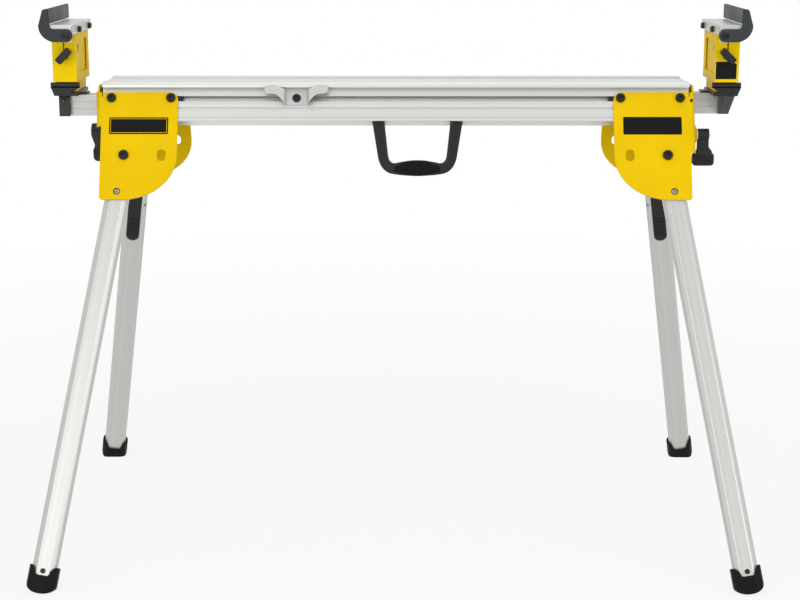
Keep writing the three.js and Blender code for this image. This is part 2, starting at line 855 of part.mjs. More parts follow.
function makeClampBar() {
  const back = endFace - plate.thickness - fit;
  const front = back - clamp.barLength;
  const low = clampHeight - clamp.barHalfHeight;
  const high = clampHeight + clamp.barHalfHeight;
  const bar = block([front, back], [-clamp.side - clamp.barFarReach, tube.offset + tube.width / 2], [low, high]);
  const pad = block([front, front + clamp.padLength],
    [tube.offset - tube.width / 2 + clamp.padInset, tube.offset + tube.width / 2 - clamp.padInset],
    [high - fit, tubeBottom - fit]);
  const hole = rodX(clamp.screwRadius + clamp.screwPlay, front - overrun, back + overrun,
    -clamp.side, clampHeight);
  return cut(join(bar, pad), hole);
}

function makeClampLever(short) {
  const paddleNear = endFace + (short ? clamp.shortPaddleNear : clamp.paddleNear);
  const paddleFar = endFace + (short ? clamp.shortPaddleFar : clamp.paddleFar);
  const y = -clamp.side;
  const washer = endFace + plate.bossRise + fit;
  const near = endFace + clamp.hubNear;
  const far = endFace + clamp.hubFar;
  const halfArm = clamp.armThickness / 2;
  const halfPaddle = clamp.paddleThickness / 2;
  const hub = rodX(clamp.hubRadius, near, far, y, clampHeight, fine);
  const face = rodX(clamp.washerRadius, washer, near + fit, y, clampHeight, fine);
  const screw = rodX(clamp.screwRadius, washer - clamp.screwReach, near + fit, y, clampHeight);
  const arm = outline([
    [near, clampHeight], [far, clampHeight], [far, clampHeight - clamp.paddleTop * 0.8],
    [paddleFar - clamp.paddleRound, clampHeight - clamp.paddleTop - fit],
    [paddleNear + clamp.paddleRound, clampHeight - clamp.paddleTop - fit],
    [near, clampHeight - clamp.paddleTop * 0.8],
  ]);
  const paddle = roundedRect(paddleNear, paddleFar,
    clampHeight - clamp.paddleBottom, clampHeight - clamp.paddleTop, clamp.paddleRound);
  const pitch = (clamp.paddleBottom - clamp.paddleTop) / (clamp.ridgeCount + 1);
  const ridges = Array.from({ length: clamp.ridgeCount }, (_, i) => {
    const z = clampHeight - clamp.paddleTop - pitch * (i + 1);
    return block([paddleNear + clamp.paddleRound, paddleFar - clamp.paddleRound],
      [y - halfPaddle - clamp.ridgeHeight, y + halfPaddle + clamp.ridgeHeight],
      [z - clamp.ridgeHeight, z + clamp.ridgeHeight]);
  });
  return join(hub, face, screw, slabXZ(arm, y - halfArm, y + halfArm),
    slabXZ(paddle, y - halfPaddle, y + halfPaddle, clamp.ridgeHeight), ...ridges);
}

// Work support, drawn for the right end. The tube lies to the rear there, and to
// the front at the left end, so the base and latch take the side of the tube.
function makeBase(tubeSide) {
  const underside = tubeTop + fit;
  const tubeCentre = tubeSide * tube.offset;
  const floor = block([base.inner + base.barHeight / 3, base.taperOuter], [base.front, base.back],
    [underside, floorTop]);
  const strap = block([base.strapInner, base.taperInner],
    [tubeCentre - tube.width / 2, tubeCentre + tube.width / 2], [underside, underside + base.strapThickness]);
  const lipBack = base.front + base.lipThickness;
  const barFoot = lipTop - base.barHeight;
  const taper = outline([
    [base.inner, barFoot + fit], [base.outer, barFoot + fit], [base.outer, barFoot],
    [base.taperOuter, barFoot - base.taperRise], [base.taperOuter, underside],
    [base.taperInner, underside], [base.taperInner, barFoot - base.taperRise],
    [base.inner, barFoot],
  ]);
  const bar = slabYZ(roundedRect(base.front, lipBack, barFoot, lipTop, base.lipThickness / 2 - fit),
    base.inner, base.outer);
  const jawFace = tubeSide * (tube.offset - tube.width / 2 - fit);
  const jawTop = tubeSide > 0 ? base.front : base.back;
  const jaw = outline([
    [jawFace, underside + fit], [jawFace, tubeBottom - fit], [jawFace - tubeSide * base.jawToe, tubeBottom - fit],
    [jawTop, underside], [jawTop, underside + fit],
  ]);
  const pivotY = tubeSide * (tube.offset + latch.pivotSide);
  const pivotZ = underside - fit - latch.barrelRadius;
  const middle = (base.jawInner + base.jawOuter) / 2;
  const lugRadius = latch.barrelRadius - fit;
  const lug = join(
    rodX(lugRadius, middle - base.lugHalf, middle + base.lugHalf, pivotY, pivotZ),
    block([middle - base.lugHalf, middle + base.lugHalf], [pivotY - lugRadius, pivotY + lugRadius],
      [pivotZ, underside + fit]));
  const eye = rodX(latch.pinRadius + latch.pinPlay, middle - base.lugHalf - overrun,
    middle + base.lugHalf + overrun, pivotY, pivotZ, coarse);
  return join(floor, strap, slabXZ(taper, base.front, lipBack), bar,
    slabYZ(jaw, base.jawInner, base.jawOuter), cut(lug, eye));
}

function makeLatch(tubeSide) {
  const pivotY = tubeSide * (tube.offset + latch.pivotSide);
  const pivotZ = tubeTop - latch.barrelRadius;
  const middle = (base.jawInner + base.jawOuter) / 2;
  const gap = base.lugHalf + fit;
  const outerY = pivotY + tubeSide * latch.barrelRadius;
  const innerY = outerY - tubeSide * latch.thickness;
  const sorted = (a, b) => (a < b ? [a, b] : [b, a]);
  const barrel = rodX(latch.barrelRadius, base.jawInner, base.jawOuter, pivotY, pivotZ);
  const tongue = block([base.jawInner, base.jawOuter], sorted(outerY, innerY), [pivotZ - latch.length, pivotZ]);
  const padFace = tubeSide * (tube.offset + tube.width / 2 + fit);
  const pad = block([middle - latch.padHeight, middle + latch.padHeight], sorted(padFace, innerY + tubeSide * fit),
    [pivotZ - latch.padDrop - latch.padHeight, pivotZ - latch.padDrop]);
  const notch = block([middle - gap, middle + gap], [pivotY - latch.barrelRadius - overrun,
    pivotY + latch.barrelRadius + overrun], [pivotZ - latch.barrelRadius - fit, pivotZ + latch.barrelRadius + fit]);
  const pin = rodX(latch.pinRadius, base.jawInner + fit, base.jawOuter - fit, pivotY, pivotZ, coarse);
  return join(cut(join(barrel, tongue), notch), pad, pin);
}

function makeColumn() {
  const { inner, outer, front, back, wall } = column;
  const bottom = floorTop + fit;
  const top = beamTop + column.rise;
  return cut(block([inner, outer], [front, back], [bottom, top]),
    block([inner + wall, outer - wall], [front + wall, back - wall], [bottom + wall, top + overrun]));
}

function makeSleeve() {
  const { inner, outer, front, back, wall } = sleeve;
  const sill = sleeveBottom + sleeve.windowSill;
  const slitFoot = knobHeight + sleeve.slitLift;
  const screws = [saddle.screwFront, saddle.screwBack].map((y) => rodX(saddle.screwShank + fit,
    inner - overrun, inner + wall + overrun, y, saddleScrewHeight, coarse));
  const slitX = knob.x + sleeve.slitShift;
  return cut(block([inner, outer], [front, back], [sleeveBottom, sleeveTop]),
    block([inner + wall, outer - wall], [front + wall, back - wall], [sleeveBottom - overrun, sleeveTop - wall]),
    block([inner - overrun, inner + wall + overrun], [sleeve.windowFront, sleeve.windowBack],
      [sill, sill + sleeve.windowHeight]),
    block([slitX - sleeve.slitWidth / 2, slitX + sleeve.slitWidth / 2], [front - overrun, front + wall + overrun],
      [slitFoot, slitFoot + sleeve.slitLength]),
    rodY(knob.stemRadius + knob.stemPlay, front - overrun, front + wall + overrun, knob.x, knobHeight),
    ...screws);
}

function makeSaddle() {
  const { inner, outer, front, back, wall, skirt, frontSkirt, relief } = saddle;
  const top = saddleTop;
  const under = top - wall;
  const sides = [[inner, inner + wall], [outer - wall, outer]].map((xs) => block(
    xs, [front + wall + relief, back - wall - relief], [top - skirt, under + fit]));
  const faces = [
    block([inner + relief, outer - relief], [front, front + wall], [top - frontSkirt, under + fit]),
    block([inner + relief, outer - relief], [back - wall, back], [top - skirt, under + fit]),
  ];
  const screws = [saddle.screwFront, saddle.screwBack].map((y) => rodX(saddle.screwShank + fit,
    inner - overrun, inner + wall + overrun, y, saddleScrewHeight, coarse));
  const pivot = rodY(stop.boltShank + stop.boltPlay, front - overrun, front + wall + overrun,
    stop.pivotX, stopHeight);
  return cut(join(block([inner, outer], [front, back], [under, top]), ...sides, ...faces), ...screws, pivot);
}

function makeSaddleScrews() {
  const face = saddle.inner - fit;
  const stripNear = sleeve.inner + sleeve.wall + fit;
  const screws = [saddle.screwFront, saddle.screwBack].flatMap((y) => [
    rodX(saddle.screwHead, face - saddle.screwHeadHeight, face, y, saddleScrewHeight),
    rodX(saddle.screwShank, face - fit, stripNear + fit, y, saddleScrewHeight, coarse),
  ]);
  const strip = block([stripNear, stripNear + saddle.stripThickness],
    [saddle.screwFront - saddle.stripHalf, saddle.screwBack + saddle.stripHalf],
    [saddleScrewHeight - saddle.stripHalf, saddleScrewHeight + saddle.stripHalf - 2 * fit]);
  return join(strip, ...screws);
}

function makeStop() {
  const armBack = saddle.front - fit;
  const armFront = armBack - stop.armThickness;
  const z = stopHeight;
  const plateFoot = saddleTop + stop.plateLift;
  const plateTop = plateFoot + stop.plateHeight;
  const { pivotX, endRadius, face, tip, tipRise, elbow, elbowRise, heel, armFillet } = stop;
  const shape = new THREE.Shape();
  shape.moveTo(pivotX, z - endRadius);
  shape.lineTo(heel - armFillet, z - endRadius);
  shape.bezierCurveTo(heel + armFillet, z - endRadius, elbow, z - elbowRise / 3, elbow, z + elbowRise);
  shape.quadraticCurveTo(elbow, z + (elbowRise + tipRise) / 2, tip + armFillet / 3, z + tipRise - armFillet / 2);
  shape.quadraticCurveTo(tip, z + tipRise, face + armFillet / 2, z + tipRise);
  shape.lineTo(face, z + tipRise - armFillet / 3);
  shape.lineTo(face, z + endRadius + armFillet);
  shape.quadraticCurveTo(face, z + endRadius, face - armFillet, z + endRadius);
  shape.lineTo(pivotX, z + endRadius);
  shape.absarc(pivotX, z, endRadius, Math.PI / 2, 1.5 * Math.PI, false);
  const arm = slabXZ(traced(shape), armFront, armBack);
  const side = outline([
    [armFront + armFillet, plateFoot], [stop.plateBack, plateFoot],
    ...arc(stop.plateBack - stop.plateCorner, plateTop - stop.plateCorner,
      stop.plateCorner, stop.plateCorner, 0, Math.PI / 2, 4),
    [armFront + fit, plateTop], [armFront + fit, plateFoot],
  ].slice(1));
  const blade = slabYZ(side, face, face + stop.plateThickness);
  const eye = rodY(stop.boltShank + stop.boltPlay, armFront - overrun, armBack + overrun, pivotX, z);
  return cut(join(arm, blade), eye);
}

function makeStopBolt() {
  const armFront = saddle.front - fit - stop.armThickness;
  const nutStart = saddle.front + saddle.wall + fit;
  const screw = headedY(stop.pivotX, stopHeight, stop.boltHead, stop.boltHeadHeight, stop.boltShank,
    armFront - fit, nutStart + fit);
  return join(screw, rodY(stop.boltNut, nutStart, nutStart + stop.boltNutHeight, stop.pivotX, stopHeight, 6));
}

function makeKnob() {
  const back = sleeve.front - knob.near;
  const front = back - knob.thickness;
  const bar = slabXZ(roundedRect(-knob.length / 2, knob.length / 2, -knob.width / 2, knob.width / 2, knob.corner),
    front, back, knob.corner / 2).rotateY(Math.PI / 4).translate(knob.x, 0, knobHeight);
  const hub = rodY(knob.hubRadius, back - fit, sleeve.front - knob.hubStart, knob.x, knobHeight);
  const stem = rodY(knob.stemRadius, back, column.front - fit, knob.x, knobHeight);
  return join(bar, hub, stem);
}

// Carry handle, hung in front of the keel, and its screws
function handleScrewPlaces() {
  const reach = handle.topHalf - handle.armWidth / 2;
  return [handle.centre - reach, handle.centre + reach];
}

function makeHandle() {
  const { centre, topHalf, gripHalf, armWidth } = handle;
  const top = keelFoot + handle.topRise;
  const kneeHeight = keelFoot - handle.kneeDrop;
  const bottom = keelFoot - handle.bottomDrop;
  const crown = keelFoot - handle.crownDrop;
  const gripEnd = keelFoot - handle.gripEndDrop;
  const corner = armWidth / 2;
  const shape = new THREE.Shape();
  shape.moveTo(centre - topHalf, top);
  shape.lineTo(centre - gripHalf, kneeHeight);
  shape.bezierCurveTo(centre - gripHalf + corner / 4, kneeHeight - corner * 1.5,
    centre - gripHalf + corner * 2, bottom + corner / 4, centre, bottom);
  shape.bezierCurveTo(centre + gripHalf - corner * 2, bottom + corner / 4,
    centre + gripHalf - corner / 4, kneeHeight - corner * 1.5, centre + gripHalf, kneeHeight);
  shape.lineTo(centre + topHalf, top);
  shape.lineTo(centre + topHalf - armWidth, top);
  shape.lineTo(centre + gripHalf - armWidth, kneeHeight);
  shape.quadraticCurveTo(centre + gripHalf - armWidth - corner / 6, gripEnd, centre + gripHalf - 2 * armWidth, gripEnd);
  shape.quadraticCurveTo(centre, crown + (crown - gripEnd) / 2, centre - gripHalf + 2 * armWidth, gripEnd);
  shape.quadraticCurveTo(centre - gripHalf + armWidth + corner / 6, gripEnd, centre - gripHalf + armWidth, kneeHeight);
  shape.lineTo(centre - topHalf + armWidth, top);
  const back = -beam.keelHalf - fit;
  const front = back - handle.thickness;
  const screwHoles = handleScrewPlaces().map((x) => rodY(handle.screwShank + handle.screwPlay,
    front - overrun, back + overrun, x, handleScrewHeight, coarse));
  return cut(slabXZ(traced(shape), front, back, handle.bevel), ...screwHoles);
}

function makeHandleScrew(x) {
  const face = -beam.keelHalf - fit - handle.thickness - fit;
  const nutStart = -beam.keelHalf + beam.keelWall + fit;
  const screw = headedY(x, handleScrewHeight, handle.screwHead, handle.screwHeadHeight,
    handle.screwShank, face, nutStart + fit, coarse);
  return join(screw, rodY(handle.screwHead, nutStart, nutStart + handle.nutHeight, x, handleScrewHeight, 6));
}

// Accessory hook, in the front plane, and its screw
function makeHook() {
  const { centre, half, sheet, reach, lobeReach, lobeHeight, lobeRise } = hook;
  const low = slotRise + hook.low;
  const high = slotRise + hook.high;
  const back = seatDepth - fit;
  const face = back - sheet;
  const front = face - reach;
  const web = block([centre - half, centre + half], [face, back], [low, high]);
  const neckLow = high - lobeHeight * 1.3;
  const sides = [-1, 1].flatMap((side) => {
    const outer = centre + side * half;
    const inner = outer - side * sheet;
    const ear = block([Math.min(outer, inner), Math.max(outer, inner)], [front, face + fit], [low, high - fit]);
    const tipX = outer + side * lobeReach;
    const radius = lobeHeight / 2;
    const lobeZ = neckLow + lobeRise + radius;
    const wing = new THREE.Shape();
    wing.moveTo(inner, neckLow);
    wing.quadraticCurveTo(outer + side * radius, neckLow + lobeRise, outer + side * lobeHeight, lobeZ - radius);
    wing.lineTo(tipX - side * radius, lobeZ - radius);
    wing.quadraticCurveTo(tipX, lobeZ - radius, tipX, lobeZ);
    wing.quadraticCurveTo(tipX, lobeZ + radius, tipX - side * radius, lobeZ + radius);
    wing.lineTo(outer + side * lobeHeight, lobeZ + radius);
    wing.quadraticCurveTo(outer, high - fit, inner, high - lobeHeight / 3);
    return [ear, slabXZ(traced(wing), front, front + sheet)];
  });
  const hole = rodY(hook.screwShank + 2 * fit, face - overrun, back + overrun, centre, slotRise, coarse);
  return cut(join(web, ...sides), hole);
}

function makeHookScrew() {
  const lipDepth = seatDepth + beam.slotLip + fit;
  const face = seatDepth - fit - hook.sheet - fit;
  const screw = headedY(hook.centre, slotRise, hook.screwHead, hook.screwHeadHeight,
    hook.screwShank, face, lipDepth + fit);
  const nut = block([hook.centre - hook.nutHalf, hook.centre + hook.nutHalf],
    [lipDepth, lipDepth + bolt.barDepth], [slotRise - bolt.barHalf, slotRise + bolt.barHalf]);
  return join(screw, nut);
}

// Materials
const finishes = {
  aluminium: { color: 0xc9cbc6, roughness: 0.42, metalness: 0.85 },
  yellow: { color: 0xf6cf0c, roughness: 0.4, metalness: 0.05 },
  black: { color: 0x1d1d1e, roughness: 0.6, metalness: 0 },
  rubber: { color: 0x1a1a1a, roughness: 0.8, metalness: 0 },
  grey: { color: 0x4f5355, roughness: 0.55, metalness: 0.1 },
  steel: { color: 0xb6b8b6, roughness: 0.35, metalness: 0.9 },
  blackSteel: { color: 0x232325, roughness: 0.4, metalness: 0.6 },
};

function piece(parent, name, finish, geometry) {
  const mesh = new THREE.Mesh(geometry, new THREE.MeshStandardMaterial(finishes[finish]));
  mesh.name = name;
  parent.add(mesh);
  return mesh;
}

// The whole stand
const stand = new THREE.Group();
piece(stand, 'beam', 'aluminium', makeBeam());
piece(stand, 'carry_handle', 'black', makeHandle());
handleScrewPlaces().forEach((x, i) => piece(stand, `handle_screw_${i ? 'right' : 'left'}`, 'blackSteel',
  makeHandleScrew(x)));
stand.add(planes.front.group, planes.rear.group);
piece(planes.front.tilted, 'accessory_hook', 'steel', makeHook());
piece(planes.front.tilted, 'hook_screw', 'blackSteel', makeHookScrew());

// The rear plane is the front one turned half round, so its left is the front's right
for (const [row, frame] of Object.entries(planes)) {
  for (const side of [-1, 1]) {
    const worldSide = row === 'front' ? side : -side;
    const place = `${row}_${worldSide < 0 ? 'left' : 'right'}`;
    const bolts = makeMountBolts();
    piece(frame.tilted, `mount_bolts_${place}`, 'blackSteel', side < 0 ? mirrored(bolts) : bolts);
    const hinge = new THREE.Group();
    hinge.position.x = side * pivotReach;
    piece(hinge, `leg_pivot_bolt_${place}`, 'blackSteel', makePivotBolt());
    const swung = new THREE.Group();
    swung.rotation.y = -side * lean;
    piece(swung, `leg_${place}`, 'aluminium', makeLeg());
    piece(swung, `leg_foot_${place}`, 'rubber', makeBoot(side));
    piece(swung, `foot_screw_${place}`, 'blackSteel', makeFootScrew());
    piece(swung, `lock_lever_${place}`, 'black', makeLockLever());
    piece(swung, `lock_pin_${place}`, 'steel', makeLockPin());
    hinge.add(swung);
    frame.tilted.add(hinge);
  }
}

for (const side of [-1, 1]) {
  const name = side < 0 ? 'left' : 'right';
  const mirror = (geometry) => (side < 0 ? mirrored(geometry) : geometry);
  const turned = new THREE.Group();
  turned.rotation.z = side < 0 ? Math.PI : 0;
  piece(turned, `end_bracket_${name}`, 'yellow', makeBracket());
  piece(turned, `extension_tube_${name}`, 'aluminium', makeTube());
  piece(turned, `clamp_bar_${name}`, 'steel', makeClampBar());
  piece(turned, `clamp_lever_${name}`, 'black', makeClampLever(side < 0));
  const support = new THREE.Group();
  support.position.x = side * (beamEnd + supportReach);
  stand.add(turned, support);
  piece(support, `support_base_${name}`, 'black', mirror(makeBase(side)));
  piece(support, `support_latch_${name}`, 'grey', mirror(makeLatch(side)));
  piece(support, `support_column_${name}`, 'yellow', mirror(makeColumn()));
  piece(support, `support_sleeve_${name}`, 'yellow', mirror(makeSleeve()));
  piece(support, `support_saddle_${name}`, 'steel', mirror(makeSaddle()));
  piece(support, `saddle_screws_${name}`, 'blackSteel', mirror(makeSaddleScrews()));
  piece(support, `flip_stop_${name}`, 'grey', mirror(makeStop()));
  piece(support, `stop_bolt_${name}`, 'blackSteel', mirror(makeStopBolt()));
  piece(support, `height_knob_${name}`, 'black', mirror(makeKnob()));
}

export default stand;
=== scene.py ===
"""Folding stand for a miter saw: pieces, finishes and studio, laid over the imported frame.

Lengths are in millimetres and go through mm() or MM on their way into Blender, which works
in metres. Only the lamps and the camera are placed in metres. +X runs along the beam, the
front is -Y and +Z is up.
"""

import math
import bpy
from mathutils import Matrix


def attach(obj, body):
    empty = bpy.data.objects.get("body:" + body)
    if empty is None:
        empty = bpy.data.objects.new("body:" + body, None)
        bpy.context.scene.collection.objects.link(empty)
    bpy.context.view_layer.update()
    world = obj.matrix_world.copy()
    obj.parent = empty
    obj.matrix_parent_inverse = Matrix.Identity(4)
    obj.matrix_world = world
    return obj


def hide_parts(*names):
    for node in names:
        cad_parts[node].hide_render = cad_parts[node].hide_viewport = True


bl_info = {
    "name": "Folding Saw Stand",
    "version": (1, 0, 0),
    "blender": (4, 5, 0),
    "location": "View3D > Sidebar > Saw Stand",
    "description": "Builds the visible pieces, finishes and studio of a folding saw stand",
    "category": "Object",
}

import bmesh
import bpy
from bpy.props import FloatProperty, FloatVectorProperty, IntProperty, PointerProperty
from bpy.types import Operator, Panel, PropertyGroup
from mathutils import Matrix, Vector

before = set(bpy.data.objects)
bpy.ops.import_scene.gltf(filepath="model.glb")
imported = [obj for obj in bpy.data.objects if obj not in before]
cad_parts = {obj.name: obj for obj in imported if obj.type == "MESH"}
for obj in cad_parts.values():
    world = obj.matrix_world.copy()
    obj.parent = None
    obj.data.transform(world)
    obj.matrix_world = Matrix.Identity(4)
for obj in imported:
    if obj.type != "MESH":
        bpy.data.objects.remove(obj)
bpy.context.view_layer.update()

MM = 0.001
SIDES = ("left", "right")
ROWS = ("front", "rear")
CORNERS = {f"{row}_{side}": (row, side) for row in ROWS for side in SIDES}
RIGHTWARD = Vector((1, 0, 0))
FRONTWARD = Vector((0, -1, 0))

# Sizes that the pieces share with the frame, in millimetres
SPLAY = math.radians(22.5)
LEAN = math.radians(9.15)
BEAM_TOP = 813
PIVOT_HEIGHT = 692
PIVOT_REACH = 468.5
SEAT_HALF = 53.7
SEAT_DEPTH = 3.8
FIT = 0.3
PIVOT_DEPTH = (
    SEAT_HALF + (BEAM_TOP - PIVOT_HEIGHT) * math.tan(SPLAY) + SEAT_DEPTH / math.cos(SPLAY)
)
SLOT_RISE = (BEAM_TOP - 28.3 - PIVOT_HEIGHT + SEAT_DEPTH * math.sin(SPLAY)) / math.cos(SPLAY)
LEG_RUN = PIVOT_HEIGHT / (math.cos(SPLAY) * math.cos(LEAN))
LEG_NEAR = 4
LEG_DEPTH = 26
LEG_HALF = 20.75
LEG_FACETS = ((0.87, 0.19), (1, 0.38), (1, 0.66), (0.87, 0.87))
LEG_OUTER_FLAT = 11
LEG_INNER_FLAT = 14
LEG_GAP = 28
SUPPORT_X = 573
CLAMP_HEIGHT = 720
CLAMP_SIDE = 45
KEEL_FACE = -40
SADDLE_TOP = 913.7
MOUNT_REACHES = (389.2, 492.3)
HANDLE_DEPTH = 14
HANDLE_CENTRE = 38
HOOK_CENTRE = -171.5
COLUMN_FACE = SUPPORT_X - 17.7
SADDLE_FACE = SUPPORT_X - 24.3
STOP_AXIS = (SUPPORT_X - 13.8, 896)


# ---------------------------------------------------------------- places and outlines


def mm(*lengths):
    return Vector([length * MM for length in lengths])


def shift(*lengths):
    return Matrix.Translation(mm(*lengths))


def turn_about(axis, degrees):
    return Matrix.Rotation(math.radians(degrees), 4, axis)


def directed(place, direction):
    """A direction as the turn of a place leaves it."""
    return place.to_3x3() @ Vector(direction)


def sign_of(side):
    return -1 if side == "left" else 1


def plate_frame(row):
    """The splayed plane of the front or rear plates: +Y runs inward and +Z up the plate."""
    turn = turn_about("Z", 180 if row == "rear" else 0)
    return turn @ shift(0, -PIVOT_DEPTH, PIVOT_HEIGHT) @ Matrix.Rotation(-SPLAY, 4, "X")


def hand(row, side):
    """Which way along its own plane a corner lies, as the rear plane is turned half round."""
    return sign_of(side) * (1 if row == "front" else -1)


def leg_frame(row, side):
    """A leg's own frame, with its pivot at the origin and the leg along -Z."""
    way = hand(row, side)
    return plate_frame(row) @ shift(way * PIVOT_REACH, 0, 0) @ Matrix.Rotation(-way * LEAN, 4, "Y")


def end_frame(side):
    """The right end as it is, or the left end as the right one turned half round."""
    return turn_about("Z", 180 if side == "left" else 0)


def mirror_for(side):
    return Matrix.Diagonal((sign_of(side), 1, 1, 1))


def rise_at(height):
    """Height along the front plate of a height above the floor."""
    return (height - PIVOT_HEIGHT) / math.cos(SPLAY)


def arc(a, b, radius, start, end, steps=8):
    """Points on an arc, with its angles in degrees."""
    angles = [math.radians(start + (end - start) * i / steps) for i in range(steps + 1)]
    return [(a + radius * math.cos(t), b + radius * math.sin(t)) for t in angles]


def filleted(corners, radii, steps=6):
    """An outline with each corner rounded by its radius."""
    points = []
    count = len(corners)
    for i, corner in enumerate(corners):
        radius = radii[i] if isinstance(radii, (list, tuple)) else radii
        here = Vector(corner)
        before = (Vector(corners[i - 1]) - here).normalized()
        after = (Vector(corners[(i + 1) % count]) - here).normalized()
        angle = before.angle(after)
        if radius <= 0 or angle > math.radians(178):
            points.append(tuple(here))
            continue
        reach = radius / math.tan(angle / 2)
        middle = here + (before + after).normalized() * (radius / math.sin(angle / 2))
        start = here + before * reach - middle
        turn = start.angle_signed(here + after * reach - middle)
        spins = [Matrix.Rotation(-turn * k / steps, 2) for k in range(steps + 1)]
        points += [tuple(middle + spin @ start) for spin in spins]
    return points


def rounded_rectangle(a0, a1, b0, b1, radius):
    return filleted([(a0, b0), (a1, b0), (a1, b1), (a0, b1)], radius)


def bezier(p0, p1, p2, p3, steps=14):
    """Points on a cubic curve, without its first one."""
    out = []
    for t in (i / steps for i in range(1, steps + 1)):
        u = 1 - t
        shares = (u**3, 3 * u * u * t, 3 * u * t * t, t**3)
        out.append(tuple(sum(s * p for s, p in zip(shares, ps)) for ps in zip(p0, p1, p2, p3)))
    return out


def quadratic(p0, p1, p2, steps=12):
    """Points on a quadratic curve, without its first one."""
    low = tuple(a + (b - a) * 2 / 3 for a, b in zip(p0, p1))
    high = tuple(c + (b - c) * 2 / 3 for b, c in zip(p1, p2))
    return bezier(p0, low, high, p2, steps)


def both_ways(right):
    """The right half of an outline, and then its mirror image back to the start."""
    return right + [(-x, z) for x, z in reversed(right)]


def swept_over(half, centre):
    """From the left end of a symmetric line over its middle, the last of half, to the right."""
    return [(centre - x, z) for x, z in half] + [(centre + x, z) for x, z in reversed(half[:-1])]


# ---------------------------------------------------------------- mesh work


AXES = {
    "XZ": lambda a, b, c: (a, c, b),
    "YZ": lambda a, b, c: (c, a, b),
    "XY": lambda a, b, c: (a, b, c),
}


def rim(radius, start, way, steps):
    """(inset, level) rows from the face of a slab to its side, round a rim."""
    turns = [math.pi / 2 * k / steps for k in range(steps + 1)]
    rows = [(radius * (1 - math.sin(t)), start + way * radius * (1 - math.cos(t))) for t in turns]
    return rows[::way] if radius else [(0, start)]


def slab(points, low, high, plane="XZ", rims=(0, 0), steps=3):
    """A slab of an outline from low to high across its plane, with rounded rims."""
    bm = bmesh.new()
    band = bm.faces.layers.float.new("edge_band")
    if sum(p[0] * q[1] - q[0] * p[1] for p, q in zip(points, points[1:] + points[:1])) < 0:
        points = points[::-1]
    count = len(points)
    inward = []
    for i, point in enumerate(points):
        a = (Vector(point) - Vector(points[i - 1])).normalized()
        b = (Vector(points[(i + 1) % count]) - Vector(point)).normalized()
        normal = Vector((-a.y - b.y, a.x + b.x)).normalized()
        inward.append(normal / max(0.35, normal.dot(Vector((-a.y, a.x)))))
    levels = rim(rims[0], low, 1, steps) + rim(rims[1], high, -1, steps)
    rings = []
    for inset, c in levels:
        inner = [(p[0] + n.x * inset, p[1] + n.y * inset) for p, n in zip(points, inward)]
        rings.append([bm.verts.new(mm(*AXES[plane](a, b, c))) for a, b in inner])
    for k, (ring, after) in enumerate(zip(rings, rings[1:])):
        flat = levels[k][0] == 0 and levels[k + 1][0] == 0
        for i in range(count):
            j = (i + 1) % count
            face = bm.faces.new((ring[i], ring[j], after[j], after[i]))
            face[band] = 0.0 if flat else 1.0
    bm.faces.new(rings[0][::-1])
    bm.faces.new(rings[-1])
    bmesh.ops.recalc_face_normals(bm, faces=bm.faces)
    return bm


def turned(profile, place, segments=32):
    """A closed round piece from (radius, height) points, turned about the Z of its place."""
    bm = bmesh.new()
    turns = [2 * math.pi * k / segments for k in range(segments)]
    rings = []
    for r, z in profile:
        points = [mm(r * math.cos(t), r * math.sin(t), z) for t in turns[: segments if r else 1]]
        rings.append([bm.verts.new(place @ point) for point in points])
    for ring, after in zip(rings, rings[1:]):
        for k in range(segments):
            corners = [ring[k % len(ring)], ring[(k + 1) % len(ring)]]
            corners += [after[(k + 1) % len(after)], after[k % len(after)]]
            bm.faces.new(list(dict.fromkeys(corners)))
    bmesh.ops.recalc_face_normals(bm, faces=bm.faces)
    return bm


def spindle(radius, near, far, place, segments):
    """A plain cylinder along the Z of its place."""
    return turned([(0, near), (radius, near), (radius, far), (0, far)], place, segments)


def brick(corner, opposite):
    """A plain cutting block between two corners."""
    bm = bmesh.new()
    size = [abs(b - a) for a, b in zip(corner, opposite)]
    middle = [(a + b) / 2 for a, b in zip(corner, opposite)]
    bmesh.ops.create_cube(bm, size=1, matrix=shift(*middle) @ Matrix.Diagonal((*mm(*size), 1)))
    return bm


def as_mesh(bm, name="work"):
    mesh = bpy.data.meshes.new(name)
    bm.to_mesh(mesh)
    bm.free()
    return mesh


def link_new(name, data):
    obj = bpy.data.objects.new(name, data)
    bpy.context.scene.collection.objects.link(obj)
    return obj


def together(*parts):
    """One mesh that holds several, each freed."""
    out = bmesh.new()
    out.faces.layers.float.new("edge_band")
    for mesh in map(as_mesh, parts):
        out.from_mesh(mesh)
        bpy.data.meshes.remove(mesh)
    return out


def through(mesh, *modifiers):
    """What modifiers, each given as (type, values), make of a mesh, which is removed."""
    obj = link_new("work", mesh)
    for kind, values in modifiers:
        modifier = obj.modifiers.new(kind.title(), kind)
        for key, value in values.items():
            if hasattr(modifier, key):
                setattr(modifier, key, value)
            else:
                modifier[key] = value
    graph = bpy.context.evaluated_depsgraph_get()
    made = bpy.data.meshes.new_from_object(obj.evaluated_get(graph))
    bpy.data.objects.remove(obj)
    out = bmesh.new()
    out.from_mesh(made)
    for used in (mesh, made):
        bpy.data.meshes.remove(used)
    return out


def carved(bm, *cutters, operation="DIFFERENCE"):
    """The mesh with each cutter taken out of it, or kept to what it shares with them."""
    tools = [link_new("cutter", as_mesh(cutter)) for cutter in cutters]
    values = {"operation": operation, "solver": "EXACT"}
    out = through(as_mesh(bm), *[("BOOLEAN", {**values, "object": tool}) for tool in tools])
    for tool in tools:
        mesh = tool.data
        bpy.data.objects.remove(tool)
        bpy.data.meshes.remove(mesh)
    return out


